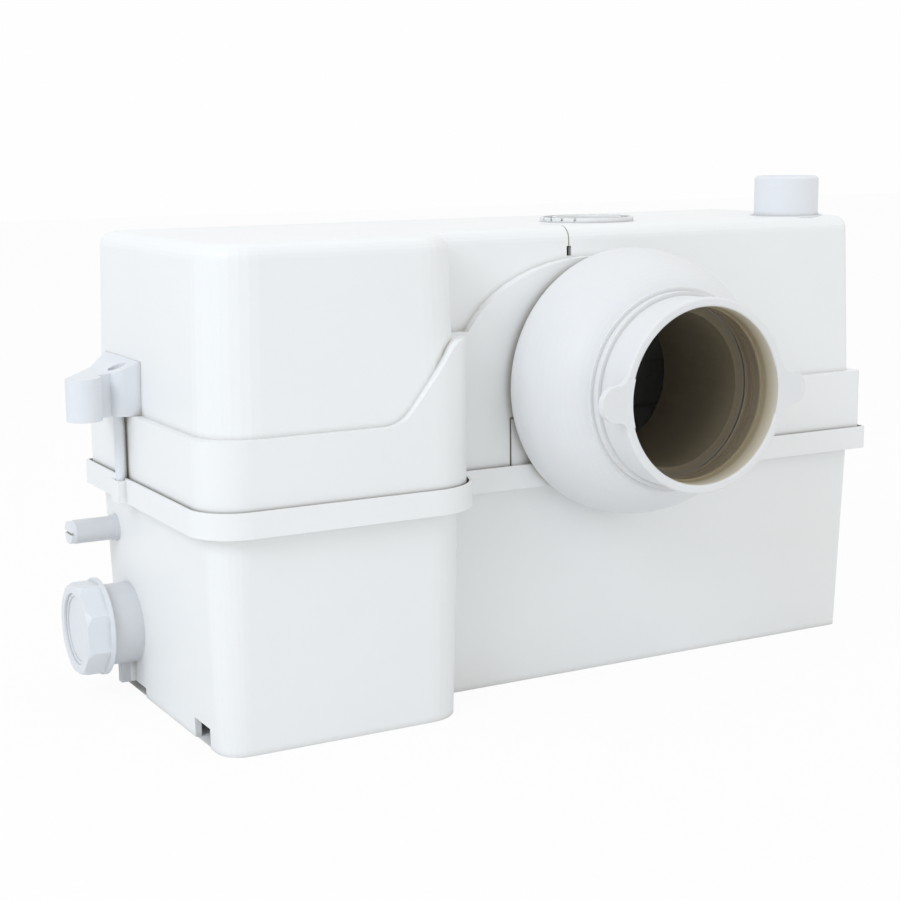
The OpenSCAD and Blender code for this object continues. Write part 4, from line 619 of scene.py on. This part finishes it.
# Under the unit, as rectangles inside the round corners of its foot: x and y from, x and y to
FOOTPRINT = [(1, 16, 137, 166), (16, 2, 118, 166), (120, 41, 431, 166)]
deselect()
bpy.ops.mesh.primitive_plane_add(size=FLOOR_M, location=(0, 0, 0))
floor = bpy.context.object
floor.name = "floor"
paper = bpy.data.materials.new("white_paper_floor")
paper.use_nodes = True
tree = paper.node_tree
shader = find_node(tree, "BSDF_PRINCIPLED")
shader.inputs["Base Color"].default_value = linear("#ececec")
shader.inputs["Roughness"].default_value = FLOOR_ROUGHNESS
glow = add_node(tree, "ShaderNodeEmission", inputs=[("Color", (1, 1, 1, 1)), ("Strength", 1.0)])
path = add_node(tree, "ShaderNodeLightPath")
under = 0.0
for x0, y0, x1, y1 in FOOTPRINT:
    at = add_node(tree, "ShaderNodeNewGeometry").outputs["Position"]
    side = add_node(tree, "ShaderNodeSeparateXYZ", links=[("Vector", at)])
    low, high = place(x0, y0, 0), place(x1, y1, 0)
    inside = [arithmetic(tree, "GREATER_THAN", side.outputs["X"], low.x),
              arithmetic(tree, "LESS_THAN", side.outputs["X"], high.x),
              arithmetic(tree, "GREATER_THAN", side.outputs["Y"], low.y),
              arithmetic(tree, "LESS_THAN", side.outputs["Y"], high.y)]
    both = arithmetic(tree, "MULTIPLY", arithmetic(tree, "MULTIPLY", inside[0], inside[1]),
                      arithmetic(tree, "MULTIPLY", inside[2], inside[3]))
    under = arithmetic(tree, "MAXIMUM", under, both)
open_floor = arithmetic(tree, "SUBTRACT", 1.0, under)
seen_open = arithmetic(tree, "MULTIPLY", path.outputs["Is Camera Ray"], open_floor)
share = arithmetic(tree, "MULTIPLY", seen_open, GLOW_SHARE)
blend = add_node(tree, "ShaderNodeMixShader", links=[(0, share), (1, shader.outputs[0]),
                                                     (2, glow.outputs[0])])
out = find_node(tree, "OUTPUT_MATERIAL")
tree.links.new(blend.outputs[0], out.inputs["Surface"])
floor.data.materials.append(paper)
print("floor is", floor.dimensions[0], "m wide")

# %% Surround
FILL_STRENGTH, SEEN_STRENGTH = 0.825, 0.991
world = bpy.data.worlds.new("white_surround")
bpy.context.scene.world = world
world.use_nodes = True
tree = world.node_tree
fill = find_node(tree, "BACKGROUND")
fill.inputs["Color"].default_value = linear("#f8f9f8")
fill.inputs["Strength"].default_value = FILL_STRENGTH
seen = add_node(tree, "ShaderNodeBackground", inputs=[("Color", (1, 1, 1, 1)), ("Strength", SEEN_STRENGTH)])
path = add_node(tree, "ShaderNodeLightPath")
both = arithmetic(tree, "MAXIMUM", path.outputs["Is Camera Ray"], path.outputs["Is Glossy Ray"])
any_of = arithmetic(tree, "MAXIMUM", both, path.outputs["Is Transmission Ray"])
swap = add_node(tree, "ShaderNodeMixShader", links=[(0, any_of), (1, fill.outputs[0]),
                                                    (2, seen.outputs[0])])
out = find_node(tree, "OUTPUT_WORLD")
tree.links.new(swap.outputs[0], out.inputs["Surface"])
print("surround strength", fill.inputs["Strength"].default_value)

# %% Lamps
def soft_lamp(name, at, target, size, watts, tint="#ffffff"):
    lamp = bpy.data.lights.new(name, "AREA")
    lamp.shape = "SQUARE"
    lamp.size = size
    lamp.energy = watts
    lamp.color = linear(tint)[:3]
    holder = bpy.data.objects.new(name, lamp)
    bpy.context.scene.collection.objects.link(holder)
    holder.location = at
    holder.rotation_euler = (Vector(target) - Vector(at)).to_track_quat("-Z", "Y").to_euler()
    print(name, watts, "W at", at)


soft_lamp("window_left", (-1.9, -0.9, 1.5), (0, 0, 0.1), size=1.1, watts=18.5, tint="#e9f2ff")
soft_lamp("window_right", (1.6, -1.2, 1.0), (0, 0, 0.1), size=1.2, watts=3)
soft_lamp("ceiling", (0.5, 0.2, 2.2), (0.05, 0, 0.2), size=1.6, watts=3.5)

# %% [markdown]
# The camera stands where the photographer stood: to the left of the unit, a little above it, looking
# down by ten degrees. The place, the angles and the lens were found by lining up the straight edges of
# the casing with the photograph. The three axes of the camera are built from those angles.

# %% Camera
CAMERA_AT = (-311.265, -802.37, 310.62)
FOCAL_PX, PHOTO_PX, SENSOR_MM, NEAR_CLIP_M = 1768.2, 900, 36, 0.01
YAW, DOWN, ROLL = 28.857, 10.091, -0.58
yaw, down, roll = (math.radians(a) for a in (YAW, DOWN, ROLL))
ahead = Vector((math.sin(yaw) * math.cos(down), math.cos(yaw) * math.cos(down), -math.sin(down)))
level = Vector((math.cos(yaw), -math.sin(yaw), 0))
rise = level.cross(ahead)
right = level * math.cos(roll) + rise * math.sin(roll)
up = rise * math.cos(roll) - level * math.sin(roll)
camera = bpy.data.objects.new("camera", bpy.data.cameras.new("camera"))
bpy.context.scene.collection.objects.link(camera)
turn = Matrix((right, up, -ahead)).transposed().to_4x4()
camera.matrix_world = Matrix.Translation(place(*CAMERA_AT)) @ turn
camera.data.sensor_width = SENSOR_MM
camera.data.lens = FOCAL_PX / PHOTO_PX * SENSOR_MM
camera.data.clip_start = NEAR_CLIP_M
bpy.context.scene.camera = camera
bpy.context.scene.view_settings.view_transform = "Standard"
print("camera at", [round(v, 3) for v in camera.location], "lens", round(camera.data.lens, 2))
